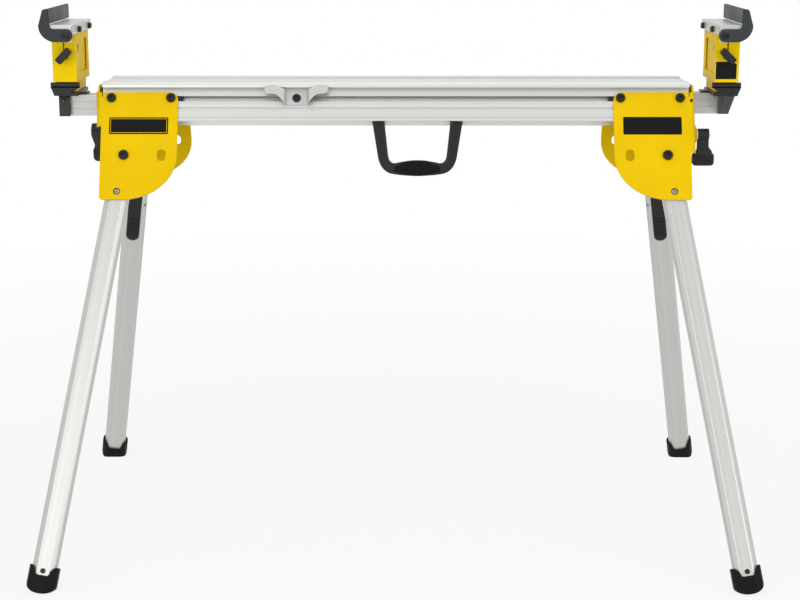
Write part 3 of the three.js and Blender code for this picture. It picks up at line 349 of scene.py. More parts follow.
def moulded(bm, voxel, passes):
    """The solids in a mesh melted into one, with its edges rounded as a mould leaves them."""
    melt = {"mode": "VOXEL", "voxel_size": voxel * MM, "use_smooth_shade": True}
    round_off = {"factor": 0.5, "iterations": passes}
    return through(as_mesh(bm), ("REMESH", melt), ("SMOOTH", round_off))


def frame_copy(name):
    """A frame node with its loose triangles merged and each flat face made one."""
    bm = bmesh.new()
    bm.from_mesh(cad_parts[name].data)
    for layer in list(bm.loops.layers.uv):
        bm.loops.layers.uv.remove(layer)
    bmesh.ops.remove_doubles(bm, verts=bm.verts, dist=0.002 * MM)
    limit = math.radians(0.5)
    bmesh.ops.dissolve_limit(bm, angle_limit=limit, verts=bm.verts, edges=bm.edges)
    return bm


def below_face(name, point, out):
    """A frame node without what stands out past a face, closed where it is cut."""
    bm = frame_copy(name)
    whole = bm.verts[:] + bm.edges[:] + bm.faces[:]
    cut = bmesh.ops.bisect_plane(bm, geom=whole, plane_co=point, plane_no=out, clear_outer=True)
    rims = [g for g in cut["geom_cut"] if isinstance(g, bmesh.types.BMEdge)]
    bmesh.ops.holes_fill(bm, edges=rims)
    return bm


def soften(bm, radius, segments=2, sharper_than=28, choose=None):
    """Rounds the edges sharper than an angle and marks the new faces for edge wear."""
    band = bm.faces.layers.float.get("edge_band") or bm.faces.layers.float.new("edge_band")
    limit = math.radians(sharper_than)
    edges = [
        e
        for e in bm.edges
        if len(e.link_faces) == 2
        and e.calc_face_angle(0) > limit
        and not any(f[band] for f in e.link_faces)
        and (choose is None or choose(e))
    ]
    how = {"offset_type": "OFFSET", "affect": "EDGES", "profile": 0.5, "loop_slide": True}
    made = bmesh.ops.bevel(
        bm, geom=edges, offset=radius, segments=segments, clamp_overlap=False, **how
    )
    for face in made["faces"]:
        face[band] = 1.0
    return bm


def runs_along(direction):
    """A test for edges that lie along a direction."""
    axis = direction.normalized()
    return lambda e: abs((e.verts[1].co - e.verts[0].co).normalized().dot(axis)) > 0.9995


def moved(bm, place):
    bmesh.ops.transform(bm, matrix=place, verts=bm.verts)
    if place.determinant() < 0:
        bmesh.ops.reverse_faces(bm, faces=bm.faces)
    return bm


CREASE = math.radians(38)


def piece(name, bm, body, finish, *nodes, run=None):
    """Makes a finished piece: its object at the origin, on its body, in place of its nodes."""
    mesh = as_mesh(bm, name)
    obj = link_new(name, mesh)
    mesh.materials.clear()
    mesh.materials.append(bpy.data.materials[finish])
    mesh.polygons.foreach_set("use_smooth", [True] * len(mesh.polygons))
    mesh.set_sharp_from_angle(angle=CREASE)
    if run:
        place = run.inverted()
        values = mesh.attributes.new("run", "FLOAT_VECTOR", "POINT")
        values.data.foreach_set("vector", [c for v in mesh.vertices for c in place @ v.co])
    obj.modifiers.new("Even normals", "WEIGHTED_NORMAL").keep_sharp = True
    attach(obj, body)
    if nodes:
        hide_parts(*nodes)


# ---------------------------------------------------------------- node helpers


def node(tree, kind, links=None, **settings):
    """Adds a node, with sockets set or linked by name or place, and returns it."""
    made = tree.nodes.new(kind)
    for key, value in settings.items():
        setattr(made, key, value)
    for key, value in (links or {}).items():
        if isinstance(value, bpy.types.NodeSocket):
            tree.links.new(value, made.inputs[key])
        else:
            made.inputs[key].default_value = value
    return made


def first(tree, kind, links=None, **settings):
    """The first output of a new node."""
    return node(tree, kind, links, **settings).outputs[0]


def maths(tree, operation, a, b):
    return first(tree, "ShaderNodeMath", {0: a, 1: b}, operation=operation)


def xyz(tree, **axes):
    return first(tree, "ShaderNodeCombineXYZ", axes)


def noise(tree, vector, scale, detail, roughness=0.5):
    sockets = {"Vector": vector, "Scale": scale, "Detail": detail, "Roughness": roughness}
    return first(tree, "ShaderNodeTexNoise", sockets)


def spread(tree, value, low, high, start=0.3, end=0.7, **settings):
    """A value from a pattern, spread between two limits."""
    sockets = {"Value": value, "From Min": start, "From Max": end, "To Min": low, "To Max": high}
    return first(tree, "ShaderNodeMapRange", sockets, **settings)


def blend_colour(tree, factor, a, b):
    return node(tree, "ShaderNodeMix", {0: factor, 6: a, 7: b}, data_type="RGBA").outputs[2]


def emptied(owner):
    """The node tree of a material or a world, without its nodes."""
    owner.use_nodes = True
    owner.node_tree.nodes.clear()
    return owner.node_tree


FLOAT = "NodeSocketFloat"
SORTS = {float: FLOAT, int: "NodeSocketInt"}


def new_group(kind, name, taken, numbers, made):
    """An empty node group and its two end nodes.

    What it takes and makes are {label: socket type}, and its numbers are {label: default}.
    """
    tree = bpy.data.node_groups.new(name, kind)
    sorts = {label: SORTS[type(value)] for label, value in numbers.items()}
    for way, rows in (("INPUT", {**taken, **sorts}), ("OUTPUT", made)):
        for label, sort in rows.items():
            socket = tree.interface.new_socket(name=label, in_out=way, socket_type=sort)
            if way == "INPUT" and label in numbers:
                socket.default_value = numbers[label]
    return tree, node(tree, "NodeGroupInput").outputs, node(tree, "NodeGroupOutput").inputs


def shader_group(name, numbers, *labels):
    """A group that takes a vector and numbers, and makes masks or patterns."""
    made = dict.fromkeys(labels, FLOAT)
    return new_group("ShaderNodeTree", name, {"Vector": "NodeSocketVector"}, numbers, made)


def geometry_group(name, numbers):
    """A group that takes a mesh, a material and numbers, and makes a mesh."""
    made = {"Geometry": "NodeSocketGeometry"}
    taken = {**made, "Material": "NodeSocketMaterial"}
    return new_group("GeometryNodeTree", name, taken, numbers, made)


# ---------------------------------------------------------------- finishes


def edge_wear_group():
    """Where paint or moulding is rubbed: the rounded edges, broken up by noise."""
    tree, given, put = shader_group("Edge wear", {"Scale": 60.0, "Reach": 0.5}, "Mask")
    band = node(tree, "ShaderNodeAttribute", attribute_name="edge_band").outputs["Fac"]
    spots = noise(tree, given["Vector"], given["Scale"], 5.0, 0.7)
    worn = spread(tree, spots, 0.0, 1.0, maths(tree, "SUBTRACT", 0.8, given["Reach"]), 0.85)
    tree.links.new(maths(tree, "MULTIPLY", worn, band), put["Mask"])


def grain_group():
    """Fine surface grain with slow cloudy variation, as moulds, powder and plating leave."""
    numbers = {"Grain scale": 1500.0, "Cloud scale": 18.0}
    tree, given, put = shader_group("Surface grain", numbers, "Grain", "Clouds")
    tree.links.new(noise(tree, given["Vector"], given["Grain scale"], 2.0), put["Grain"])
    tree.links.new(noise(tree, given["Vector"], given["Cloud scale"], 4.0), put["Clouds"])


def drawn_lines_group():
    """Long fine lines along the first axis of its vector, as a die or a brush leaves."""
    numbers = {"Line density": 900.0, "Line length": 1.5}
    tree, given, put = shader_group("Drawn lines", numbers, "Lines", "Broad lines")
    across = given["Line density"]
    sockets = {0: given["Vector"], 1: xyz(tree, X=given["Line length"], Y=across, Z=across)}
    stretched = first(tree, "ShaderNodeVectorMath", sockets, operation="MULTIPLY")
    tree.links.new(noise(tree, stretched, 1.0, 3.0), put["Lines"])
    tree.links.new(noise(tree, stretched, 0.14, 2.0), put["Broad lines"])


def placed_group(tree, name, vector, **numbers):
    sockets = {"Vector": vector, **{key.replace("_", " "): n for key, n in numbers.items()}}
    group = bpy.data.node_groups[name]
    return node(tree, "ShaderNodeGroup", sockets, node_tree=group).outputs


def scaled(colour, factor):
    return (*[channel * factor for channel in colour], 1.0)


def close_finish(tree, height, strength, distance, **sockets):
    """Ends a material with its fine relief, its shader and its output."""
    relief = {"Height": height, "Strength": strength, "Distance": distance * MM}
    values = {key.replace("_", " "): value for key, value in sockets.items()}
    values["Normal"] = first(tree, "ShaderNodeBump", relief)
    surface = first(tree, "ShaderNodeBsdfPrincipled", values)
    node(tree, "ShaderNodeOutputMaterial", {"Surface": surface}, is_active_output=True)


def object_place(tree):
    return node(tree, "ShaderNodeTexCoord").outputs["Object"]


def run_place(tree):
    """The place within a piece whose first axis runs along it."""
    return node(tree, "ShaderNodeAttribute", attribute_name="run").outputs["Vector"]


def drawn_metal(name, find_place, colour, roughness, metallic, density, length, speckle, scale):
    """A metal with drawn or brushed lines along a piece, with painted shade in its marked
    recesses.
    """
    tree = emptied(bpy.data.materials.new(name))
    place = find_place(tree)
    lines = placed_group(tree, "Drawn lines", place, Line_density=density, Line_length=length)
    grain = placed_group(tree, "Surface grain", place, Grain_scale=scale, Cloud_scale=9.0)["Grain"]
    tone = spread(tree, lines["Broad lines"], 0.0, 1.0)
    body = blend_colour(tree, tone, scaled(colour, 1.0), scaled(colour, 0.9))
    specks = spread(tree, grain, 0.0, speckle, 0.45, 0.75)
    body = blend_colour(tree, specks, body, scaled(colour, 0.72))
    # Painted shade: marked faces are darkened to 0.84 of the colour
    recess = node(tree, "ShaderNodeAttribute", attribute_name="recess").outputs["Fac"]
    body = blend_colour(tree, recess, body, scaled(colour, 0.84))
    rough = spread(tree, lines["Lines"], roughness - 0.06, roughness + 0.07)
    height = maths(tree, "ADD", lines["Lines"], grain)
    close_finish(tree, height, 0.35, 0.02, Base_Color=body, Roughness=rough, Metallic=metallic)


def coated(name, colour, roughness, scale, relief, wear, worn_colour, gloss):
    """A painted or moulded finish with grain, cloudy tone and rubbed edges."""
    tree = emptied(bpy.data.materials.new(name))
    place = object_place(tree)
    grain = placed_group(tree, "Surface grain", place, Grain_scale=scale, Cloud_scale=14.0)
    rubbed = placed_group(tree, "Edge wear", place, Scale=55.0, Reach=wear)["Mask"]
    tone = spread(tree, grain["Clouds"], 0.0, 1.0)
    body = blend_colour(tree, tone, scaled(colour, 1.03), scaled(colour, 0.94))
    body = blend_colour(tree, rubbed, body, scaled(worn_colour, 1.0))
    rough = spread(tree, grain["Clouds"], roughness - 0.05, roughness + 0.05)
    values = {"Base_Color": body, "Roughness": rough, "Specular_IOR_Level": gloss}
    close_finish(tree, grain["Grain"], 0.5, relief, **values)


# Finish: colour, its shade, roughness, metallic, line density and length, speckle, grain scale
METALS = {
    "Anodised aluminium": ("aluminium", 1.0, 0.37, 0.75, 900.0, 1.5, 0.5, 2600.0),
    "Mill finish aluminium": ("aluminium", 0.82, 0.42, 0.6, 500.0, 6.0, 1.0, 900.0),
    "Satin aluminium": ("aluminium", 0.86, 0.37, 0.65, 900.0, 1.5, 0.5, 2600.0),
    "Zinc plated steel": ("zinc", 1.0, 0.33, 0.38, 260.0, 40.0, 0.5, 2600.0),
}
# Finish: colour, roughness, grain scale, relief in millimetres, wear, colour where worn, gloss
COATS = {
    "Yellow powder coat": ("yellow", 0.42, 750.0, 0.05, 0.06, (0.5, 0.36, 0.07), 0.05),
    # Painted light: the tower yellow is the bracket yellow made brighter, because the upright
    # tower faces get less light than the tilted plates
    "Yellow tower coat": ("tower", 0.42, 750.0, 0.05, 0.06, (0.5, 0.36, 0.07), 0.05),
    "Black moulded plastic": ("black", 0.36, 1700.0, 0.05, 0.2, (0.03, 0.03, 0.03), 0.34),
    "Foot rubber": ("rubber", 0.44, 1100.0, 0.06, 0.2, (0.012, 0.012, 0.012), 0.12),
    "Dark grey paint": ("grey", 0.42, 1200.0, 0.06, 0.15, (0.11, 0.12, 0.13), 0.1),
    "Black oxide steel": ("oxide", 0.3, 1500.0, 0.03, 0.3, (0.06, 0.06, 0.06), 0.3),
    "Panel film": ("film", 0.3, 900.0, 0.01, 0.0, None, 0.1),
    "Panel line paint": ("yellow", 0.4, 900.0, 0.01, 0.0, None, 0.2),
}


def make_finishes(colours):
    for name, (key, shade, *values) in METALS.items():
        find_place = object_place if key == "zinc" else run_place
        drawn_metal(name, find_place, scaled(getattr(colours, key), shade)[:3], *values)
    for name, (key, roughness, scale, relief, wear, worn, gloss) in COATS.items():
        base = getattr(colours, key)
        coated(name, base, roughness, scale, relief, wear, worn or base, gloss)


# ---------------------------------------------------------------- repeated pieces


def close_tree(tree, given, put, instance, **sockets):
    """Ends a tree with real copies of an instance, creases kept, and its material."""
    copies = first(tree, "GeometryNodeInstanceOnPoints", {"Instance": instance, **sockets})
    mesh = first(tree, "GeometryNodeRealizeInstances", {"Geometry": copies})
    angle = first(tree, "GeometryNodeInputMeshEdgeAngle")
    limit = {0: angle, 1: math.radians(32)}
    sharp = first(tree, "FunctionNodeCompare", limit, operation="GREATER_THAN")
    shading = "GeometryNodeSetShadeSmooth"
    mesh = first(tree, shading, {"Geometry": mesh, "Shade Smooth": True})
    creases = {"Geometry": mesh, "Selection": sharp, "Shade Smooth": False}
    mesh = first(tree, shading, creases, domain="EDGE")
    sockets = {"Geometry": mesh, "Material": given["Material"]}
    tree.links.new(first(tree, "GeometryNodeSetMaterial", sockets), put["Geometry"])


def cylinder(tree, vertices, radius, depth):
    sockets = {"Vertices": vertices, "Radius": radius, "Depth": depth}
    return node(tree, "GeometryNodeMeshCylinder", sockets).outputs


def lifted(tree, mesh, height):
    """A mesh in a geometry tree, moved up."""
    sockets = {"Geometry": mesh, "Translation": xyz(tree, Z=height)}
    return first(tree, "GeometryNodeTransform", sockets)


def named(tree, name):
    """The vector that each point carries under a name."""
    sockets = {"Name": name}
    return first(tree, "GeometryNodeInputNamedAttribute", sockets, data_type="FLOAT_VECTOR")


CROWN_STEPS = 3


def screw_tree():
    """Socket-head screws, one on each point, standing out along the point's direction."""
    numbers = {"Crown": 0.74, "Rim": 0.6, "Socket": 0.46, "Socket depth": 1.2}
    tree, given, put = geometry_group("Socket screws", numbers)
    wall = cylinder(tree, 36, 1.0, given["Rim"])
    head = lifted(tree, wall["Mesh"], maths(tree, "MULTIPLY", given["Rim"], 0.5))
    top = wall["Top"]
    narrowing = maths(tree, "POWER", given["Crown"], 1 / CROWN_STEPS)
    left_over = maths(tree, "SUBTRACT", 1.0, given["Rim"])
    rises = [math.sin(math.pi / 2 * step / CROWN_STEPS) for step in range(CROWN_STEPS + 1)]
    for below, above in zip(rises, rises[1:]):
        rise = xyz(tree, Z=maths(tree, "MULTIPLY", left_over, above - below))
        sockets = {"Mesh": head, "Selection": top, "Offset": rise, "Individual": False}
        made = node(tree, "GeometryNodeExtrudeMesh", sockets).outputs
        top = made["Top"]
        sockets = {"Geometry": made["Mesh"], "Selection": top, "Scale": narrowing}
        head = first(tree, "GeometryNodeScaleElements", sockets)
    socket = cylinder(tree, 6, given["Socket"], given["Socket depth"])["Mesh"]
    sockets = {"Mesh 1": head, "Mesh 2": lifted(tree, socket, 1.0)}
    drilled = first(tree, "GeometryNodeMeshBoolean", sockets, operation="DIFFERENCE")
    way = {"Vector": named(tree, "out")}
    turn = first(tree, "FunctionNodeAlignRotationToVector", way, axis="Z")
    places = {"Points": given["Geometry"], "Rotation": turn, "Scale": named(tree, "size")}
    close_tree(tree, given, put, drilled, **places)


def ridge_tree():
    """A row of half-round grip ridges along Z, each lying along X."""
    lengths = {"Pitch": 6 * MM, "Length": 19 * MM, "Width": 3 * MM, "Height": 0.9 * MM}
    tree, given, put = geometry_group("Grip ridges", {"Count": 7, **lengths})
    sockets = {"Count": given["Count"], "Offset": xyz(tree, Z=given["Pitch"])}
    row = first(tree, "GeometryNodeMeshLine", sockets, mode="OFFSET", count_mode="TOTAL")
    sockets = {"Geometry": cylinder(tree, 12, 0.5, 1.0)["Mesh"], "Rotation": (0, math.pi / 2, 0)}
    bar = first(tree, "GeometryNodeTransform", sockets)
    tall = maths(tree, "MULTIPLY", given["Height"], 2.0)
    size = xyz(tree, X=given["Length"], Y=tall, Z=given["Width"])
    close_tree(tree, given, put, bar, Points=row, Scale=size)


def grown(name, start, finish, **sizes):
    """What a geometry tree makes from a mesh."""
    tree = bpy.data.node_groups[name]
    inputs = [item for item in tree.interface.items_tree if item.in_out == "INPUT"]
    keys = {item.name: item.identifier for item in inputs}
    values = {keys[label]: value for label, value in sizes.items()}
    values[keys["Material"]] = bpy.data.materials[finish]
    bm = through(start, ("NODES", {"node_group": tree, **values}))
    if not bm.faces:
        raise RuntimeError(f"{name} made nothing")
    return bm


def screws(*rows):
    """Screw heads from (place, outward direction, head radius, head height) rows."""
    points = bpy.data.meshes.new("points")
    points.from_pydata([row[0] for row in rows], [], [])
    vectors = {"out": [row[1] for row in rows], "size": [mm(r, r, h) for _, _, r, h in rows]}
    for name, values in vectors.items():
        layer = points.attributes.new(name, "FLOAT_VECTOR", "POINT")
        layer.data.foreach_set("vector", [c for value in values for c in value])
    return grown("Socket screws", points, "Black oxide steel")


def ridges(place, count, **lengths):
    """A row of ridges at a place, from the shared tree."""
    sizes = {label.title(): value * MM for label, value in lengths.items()}
    start = bpy.data.meshes.new("start")
    rows = grown("Grip ridges", start, "Black moulded plastic", Count=count, **sizes)
    return moved(rows, place)


# ---------------------------------------------------------------- sizes and colours


def length(label, text, value):
    return FloatProperty(name=label, description=text, default=value * MM, min=0, unit="LENGTH")


def strength(label, text, value, unit="NONE"):
    return FloatProperty(name=label, description=text, default=value, min=0, unit=unit)


def colour(label, text, value):
    return FloatVectorProperty(
        name=label, description=text, default=value, size=3, min=0, max=1, subtype="COLOR"
    )


class StandSizes(PropertyGroup):
    profile_edge: length("Profile edge", "Rounding along the extruded beam and tubes", 0.3)
    leg_edge: length("Leg edge", "Rounding along the extruded legs", 1.5)
    sheet_edge: length("Sheet edge", "Rounding of the painted sheet metal", 0.6)
    moulded_edge: length("Moulded edge", "Rounding of the plastic and cast pieces", 0.9)
    machined_edge: length("Machined edge", "Rounding of bars, bolts and plated sheet", 0.5)
    grip_round: length("Grip rounding", "Rounding of the carry handle", 3.4)
    panel_thickness: length("Panel thickness", "Thickness of the printed panels", 0.3)


class StandColours(PropertyGroup):
    aluminium: colour("Aluminium", "Anodised beam, tubes and legs", (0.71, 0.72, 0.69))
    yellow: colour("Yellow", "Powder coat of the end brackets", (0.88, 0.58, 0.002))
    # Painted light: the same yellow as the brackets, made brighter to make up for the lesser light
    # on the upright towers
    tower: colour("Tower yellow", "Powder coat of the work supports", (0.97, 0.68, 0.002))
    black: colour("Black", "Moulded levers, knobs and bases", (0.007, 0.007, 0.0075))
    rubber: colour("Rubber", "Feet", (0.004, 0.004, 0.004))
    grey: colour("Grey", "Flip stops and latches", (0.05, 0.055, 0.056))
    zinc: colour("Zinc", "Saddles, hook and clamp bars", (0.62, 0.62, 0.615))
    oxide: colour("Oxide", "Screws", (0.01, 0.01, 0.011))
    film: colour("Film", "Printed panels", (0.008, 0.008, 0.007))


class StudioSettings(PropertyGroup):
    front_strength: strength("Front light", "Strength of the surroundings in front", 0.95)
    back_strength: strength("Back light", "Strength of the surroundings behind", 0.08)
    bright_side: FloatVectorProperty(
        name="Bright side",
        description="Where the light comes from",
        default=(-0.1, -0.98, 0.14),
        subtype="DIRECTION",
    )
    floor_glow: strength("Floor glow", "Light that the floor sends back", 0.54)
    key_power: strength("Key", "Power of the large lamp at the front", 30, "POWER")
    fill_power: strength("Fill", "Power of the lamp at the other side", 26, "POWER")
    top_power: strength("Top", "Power of the lamp overhead", 27, "POWER")
    floor_reach: length("Floor reach", "Radius of the floor", 14000)
    floor_facets: IntProperty(
        name="Floor facets", description="Facets round the floor", default=96, min=12
    )


# ---------------------------------------------------------------- pieces


class SAWSTAND_OT_finishes(Operator):
    """Build the shader groups, the finishes and the trees that make repeated pieces"""

    bl_idname = "saw_stand.finishes"
    bl_label = "Finishes"

    def execute(self, context):
        for make in (edge_wear_group, grain_group, drawn_lines_group, screw_tree, ridge_tree):
            make()
        make_finishes(context.scene.stand_colours)
        return {"FINISHED"}


SLOT_MOUTH = SEAT_DEPTH + 0.4
SLOT_DEPTH = 24
SLOT_HALF = 11


class SAWSTAND_OT_beam(Operator):
    """Build the extruded beam"""

    bl_idname = "saw_stand.beam"
    bl_label = "Beam"

    def execute(self, context):
        edge = context.scene.stand_sizes.profile_edge
        bm = soften(frame_copy("beam"), edge, 2, 20, runs_along(RIGHTWARD))
        # Painted shade: faces inside the T-slots are marked, and the metal's colour is darkened
        # there
        recess = bm.faces.layers.float.new("recess")
        for row in ROWS:
            into = plate_frame(row).inverted()
            for face in bm.faces:
                _, depth, rise = (into @ face.calc_center_median()) / MM
                if SLOT_MOUTH < depth < SLOT_DEPTH and abs(rise - SLOT_RISE) < SLOT_HALF:
                    face[recess] = 1.0
        piece("beam_extrusion", bm, "frame", "Anodised aluminium", "beam", run=Matrix.Identity(4))
        return {"FINISHED"}


PANELS = {"left": ((-495, -393), (726.5, 754)), "right": ((393, 494), (726, 755))}
LINE_INSET = 2.2
LINE_WIDTH = 0.8
BEND_START = 503


def clear_of_pierced_bend(side):
    """A test for edges of a bracket away from the bend that its sight hole goes through."""
    return lambda e: all(
        abs(v.co.x) < BEND_START * MM or v.co.y * sign_of(side) > -SEAT_HALF * MM
        for v in e.verts
    )


class SAWSTAND_OT_brackets(Operator):
    """Build the folded end brackets, and the plain panels on their front plates"""

    bl_idname = "saw_stand.brackets"
    bl_label = "End brackets"

    def execute(self, context):
        sizes = context.scene.stand_sizes
        thick = sizes.panel_thickness / MM
        place = plate_frame("front")
        for side in SIDES:
            bm = frame_copy(f"end_bracket_{side}")
            soften(bm, sizes.sheet_edge, 2, 28, clear_of_pierced_bend(side))
            bmesh.ops.triangulate(bm, faces=[f for f in bm.faces if len(f.verts) > 4])
            piece(f"bracket_{side}", bm, "frame", "Yellow powder coat", f"end_bracket_{side}")
            (x0, x1), (low, high) = PANELS[side]
            z0, z1 = rise_at(low), rise_at(high)
            panel = slab(rounded_rectangle(x0, x1, z0, z1, 2), -thick, 0, rims=(thick * 0.4, 0))
            piece(f"panel_{side}", moved(panel, place), "frame", "Panel film")
            if side == "left":
                levels = ((LINE_INSET, -thick - 0.06, -0.1), (LINE_INSET + LINE_WIDTH, -2, 1))
                line = carved(
                    *[
                        brick((x0 + inset, front, z0 + inset), (x1 - inset, back, z1 - inset))
                        for inset, front, back in levels
                    ]
                )
                piece(f"panel_line_{side}", moved(line, place), "frame", "Panel line paint")
        return {"FINISHED"}


class SAWSTAND_OT_legs(Operator):
    """Build the four extruded legs"""

    bl_idname = "saw_stand.legs"
    bl_label = "Legs"

    def execute(self, context):
        sizes = context.scene.stand_sizes
        for corner, (row, side) in CORNERS.items():
            place = leg_frame(row, side)
            lengthwise = runs_along(directed(place, (0, 0, 1)))
            name = f"leg_{corner}"
            bm = soften(frame_copy(name), sizes.leg_edge, 3, 15, lengthwise)
            soften(bm, sizes.machined_edge * 0.7, 2, 40, lambda e: not lengthwise(e))
            run = place @ turn_about("Y", 90)
            piece(f"leg_extrusion_{corner}", bm, name, "Satin aluminium", name, run=run)
        return {"FINISHED"}


FOOT_WALL = 4.4
FOOT_RISE = 50
FOOT_SCREW_RISE = 41.7
BELOW_FLOOR = ((-900, -900, -200), (900, 900, 0))


def leg_section(grow):
    """The leg's outline across its length, grown on all sides."""
    half, near, depth = LEG_HALF + grow, LEG_NEAR - grow, LEG_DEPTH + 2 * grow
    side = [(half * across, near + depth * inward) for across, inward in LEG_FACETS]
    return both_ways([(LEG_OUTER_FLAT, near), *side, (LEG_INNER_FLAT, near + depth)])


def foot_notch():
    """The mouth of a foot seen from the front, with flaps that sweep up to two tips."""
    top, floor = FOOT_RISE + 1, FOOT_RISE - 15.5
    side = [(22.5, top), (22.3, FOOT_RISE)]
    side += bezier(side[-1], (19, FOOT_RISE - 0.5), (15.5, FOOT_RISE - 4), (13, FOOT_RISE - 9))
    side += bezier(side[-1], (12, FOOT_RISE - 12), (11, floor), (8, floor))
    return both_ways(side)


def foot_belly():
    """The front view of a foot, from its flat top to its round sides and sole."""
    half, top = LEG_HALF + FOOT_WALL, FOOT_RISE + 1
    turns = [math.pi / 2 * step / 10 for step in range(11)]
    left = [(-1.3 - 24 * math.cos(t), 20.4 - 16 * math.sin(t)) for t in turns]
    return [(half, top), (-half, top)] + left + [(-x, z) for x, z in reversed(left)]


class SAWSTAND_OT_feet(Operator):
    """Build the moulded rubber feet"""

    bl_idname = "saw_stand.feet"
    bl_label = "Feet"

    def execute(self, context):
        for corner, (row, side) in CORNERS.items():
            foot = slab(leg_section(FOOT_WALL), 0, FOOT_RISE, "XY")
            foot = carved(foot, slab(foot_belly(), -60, 90), operation="INTERSECT")
            leg = slab(leg_section(FIT), LEG_GAP - FIT, FOOT_RISE + 2, "XY")
            foot = carved(foot, leg, slab(foot_notch(), -60, 90))
            foot = moved(foot, leg_frame(row, side) @ shift(0, 0, -LEG_RUN))
            foot = moulded(carved(foot, brick(*BELOW_FLOOR)), 0.9, 5)
            piece(f"foot_{corner}", foot, f"leg_{corner}", "Foot rubber", f"leg_foot_{corner}")
        return {"FINISHED"}


LEVER_HALF = 11.8
LEVER_TOP = -50
LEVER_BOTTOM = -204
LEVER_FACE = 31
LEVER_DEPTH = 10
LEVER_AXLE = (0, 25, -125)
LOCK_PIN_DROP = 64.7
CAP_FACE = LEVER_FACE + 0.6
PIN_SHOULDER = CAP_FACE - LEVER_DEPTH - 1.2


class SAWSTAND_OT_leg_locks(Operator):
    """Build the lock levers with their ridges, and the lock pins"""

    bl_idname = "saw_stand.leg_locks"
    bl_label = "Leg locks"

    def execute(self, context):
        end = arc(0, LEVER_BOTTOM + LEVER_HALF, LEVER_HALF, 180, 360, 20)
        shape = [(LEVER_HALF, LEVER_TOP), (-LEVER_HALF, LEVER_TOP)] + end
        pin_place = shift(0, 0, -LOCK_PIN_DROP) @ turn_about("X", -90)
        axle_place = shift(*LEVER_AXLE) @ turn_about("Y", 90)
        grip_place = shift(0, LEVER_FACE - 0.1, LEVER_BOTTOM + 11)
        collars = []
        for corner, (row, side) in CORNERS.items():
            place = leg_frame(row, side)
            bar = slab(shape, LEVER_FACE - LEVER_DEPTH, LEVER_FACE, rims=(0, 1.2))
            bar = carved(bar, spindle(3.8, 15, 40, pin_place, 24))
            axle = spindle(2.6, -18.2, 18.2, axle_place, 16)
            grip = ridges(grip_place, 7, pitch=6, length=17, width=3.4, height=1.6)
            lever = moved(together(bar, axle, grip), place)
            body = f"lock_lever_{corner}"
            piece(f"lock_grip_{corner}", lever, body, "Black moulded plastic", body)
            shaft = [(0, 4.1), (2.2, 4.1), (2.6, 3.8), (4.2, 3.8), (4.6, 4.2), (4.6, PIN_SHOULDER)]
            neck = [(3, PIN_SHOULDER), (3, CAP_FACE), (5.2, CAP_FACE), (5.6, CAP_FACE + 0.4)]
            cap = [(5.6, CAP_FACE + 2.2), (5.2, CAP_FACE + 2.6), (0, CAP_FACE + 2.6)]
            slots = [
                brick((-across, 3.2, -LOCK_PIN_DROP - down), (across, 7.5, -LOCK_PIN_DROP + down))
                for across, down in ((3.1, 0.75), (0.75, 3.1))
            ]
            pin = moved(carved(turned(shaft + neck + cap, pin_place), *slots), place)
            body = f"lock_pin_{corner}"
            piece(f"lock_plunger_{corner}", pin, body, "Zinc plated steel", body)
            ring = [(4.9, -0.5), (5.7, -0.5), (6.1, -0.1), (6.1, 0.3), (4.9, 0.3), (4.9, -0.5)]
            collars.append(moved(turned(ring, pin_place, 36), place))
        piece("pin_collars", together(*collars), "frame", "Black oxide steel")
        return {"FINISHED"}


HANDLE_SCREWS = {"handle_screw_left": -31.75, "handle_screw_right": 107.75}
HANDLE_SCREW_HEIGHT = 742
SADDLE_SCREW_HEIGHT = 903.4
SADDLE_SCREW_SPOTS = (-48, 50)


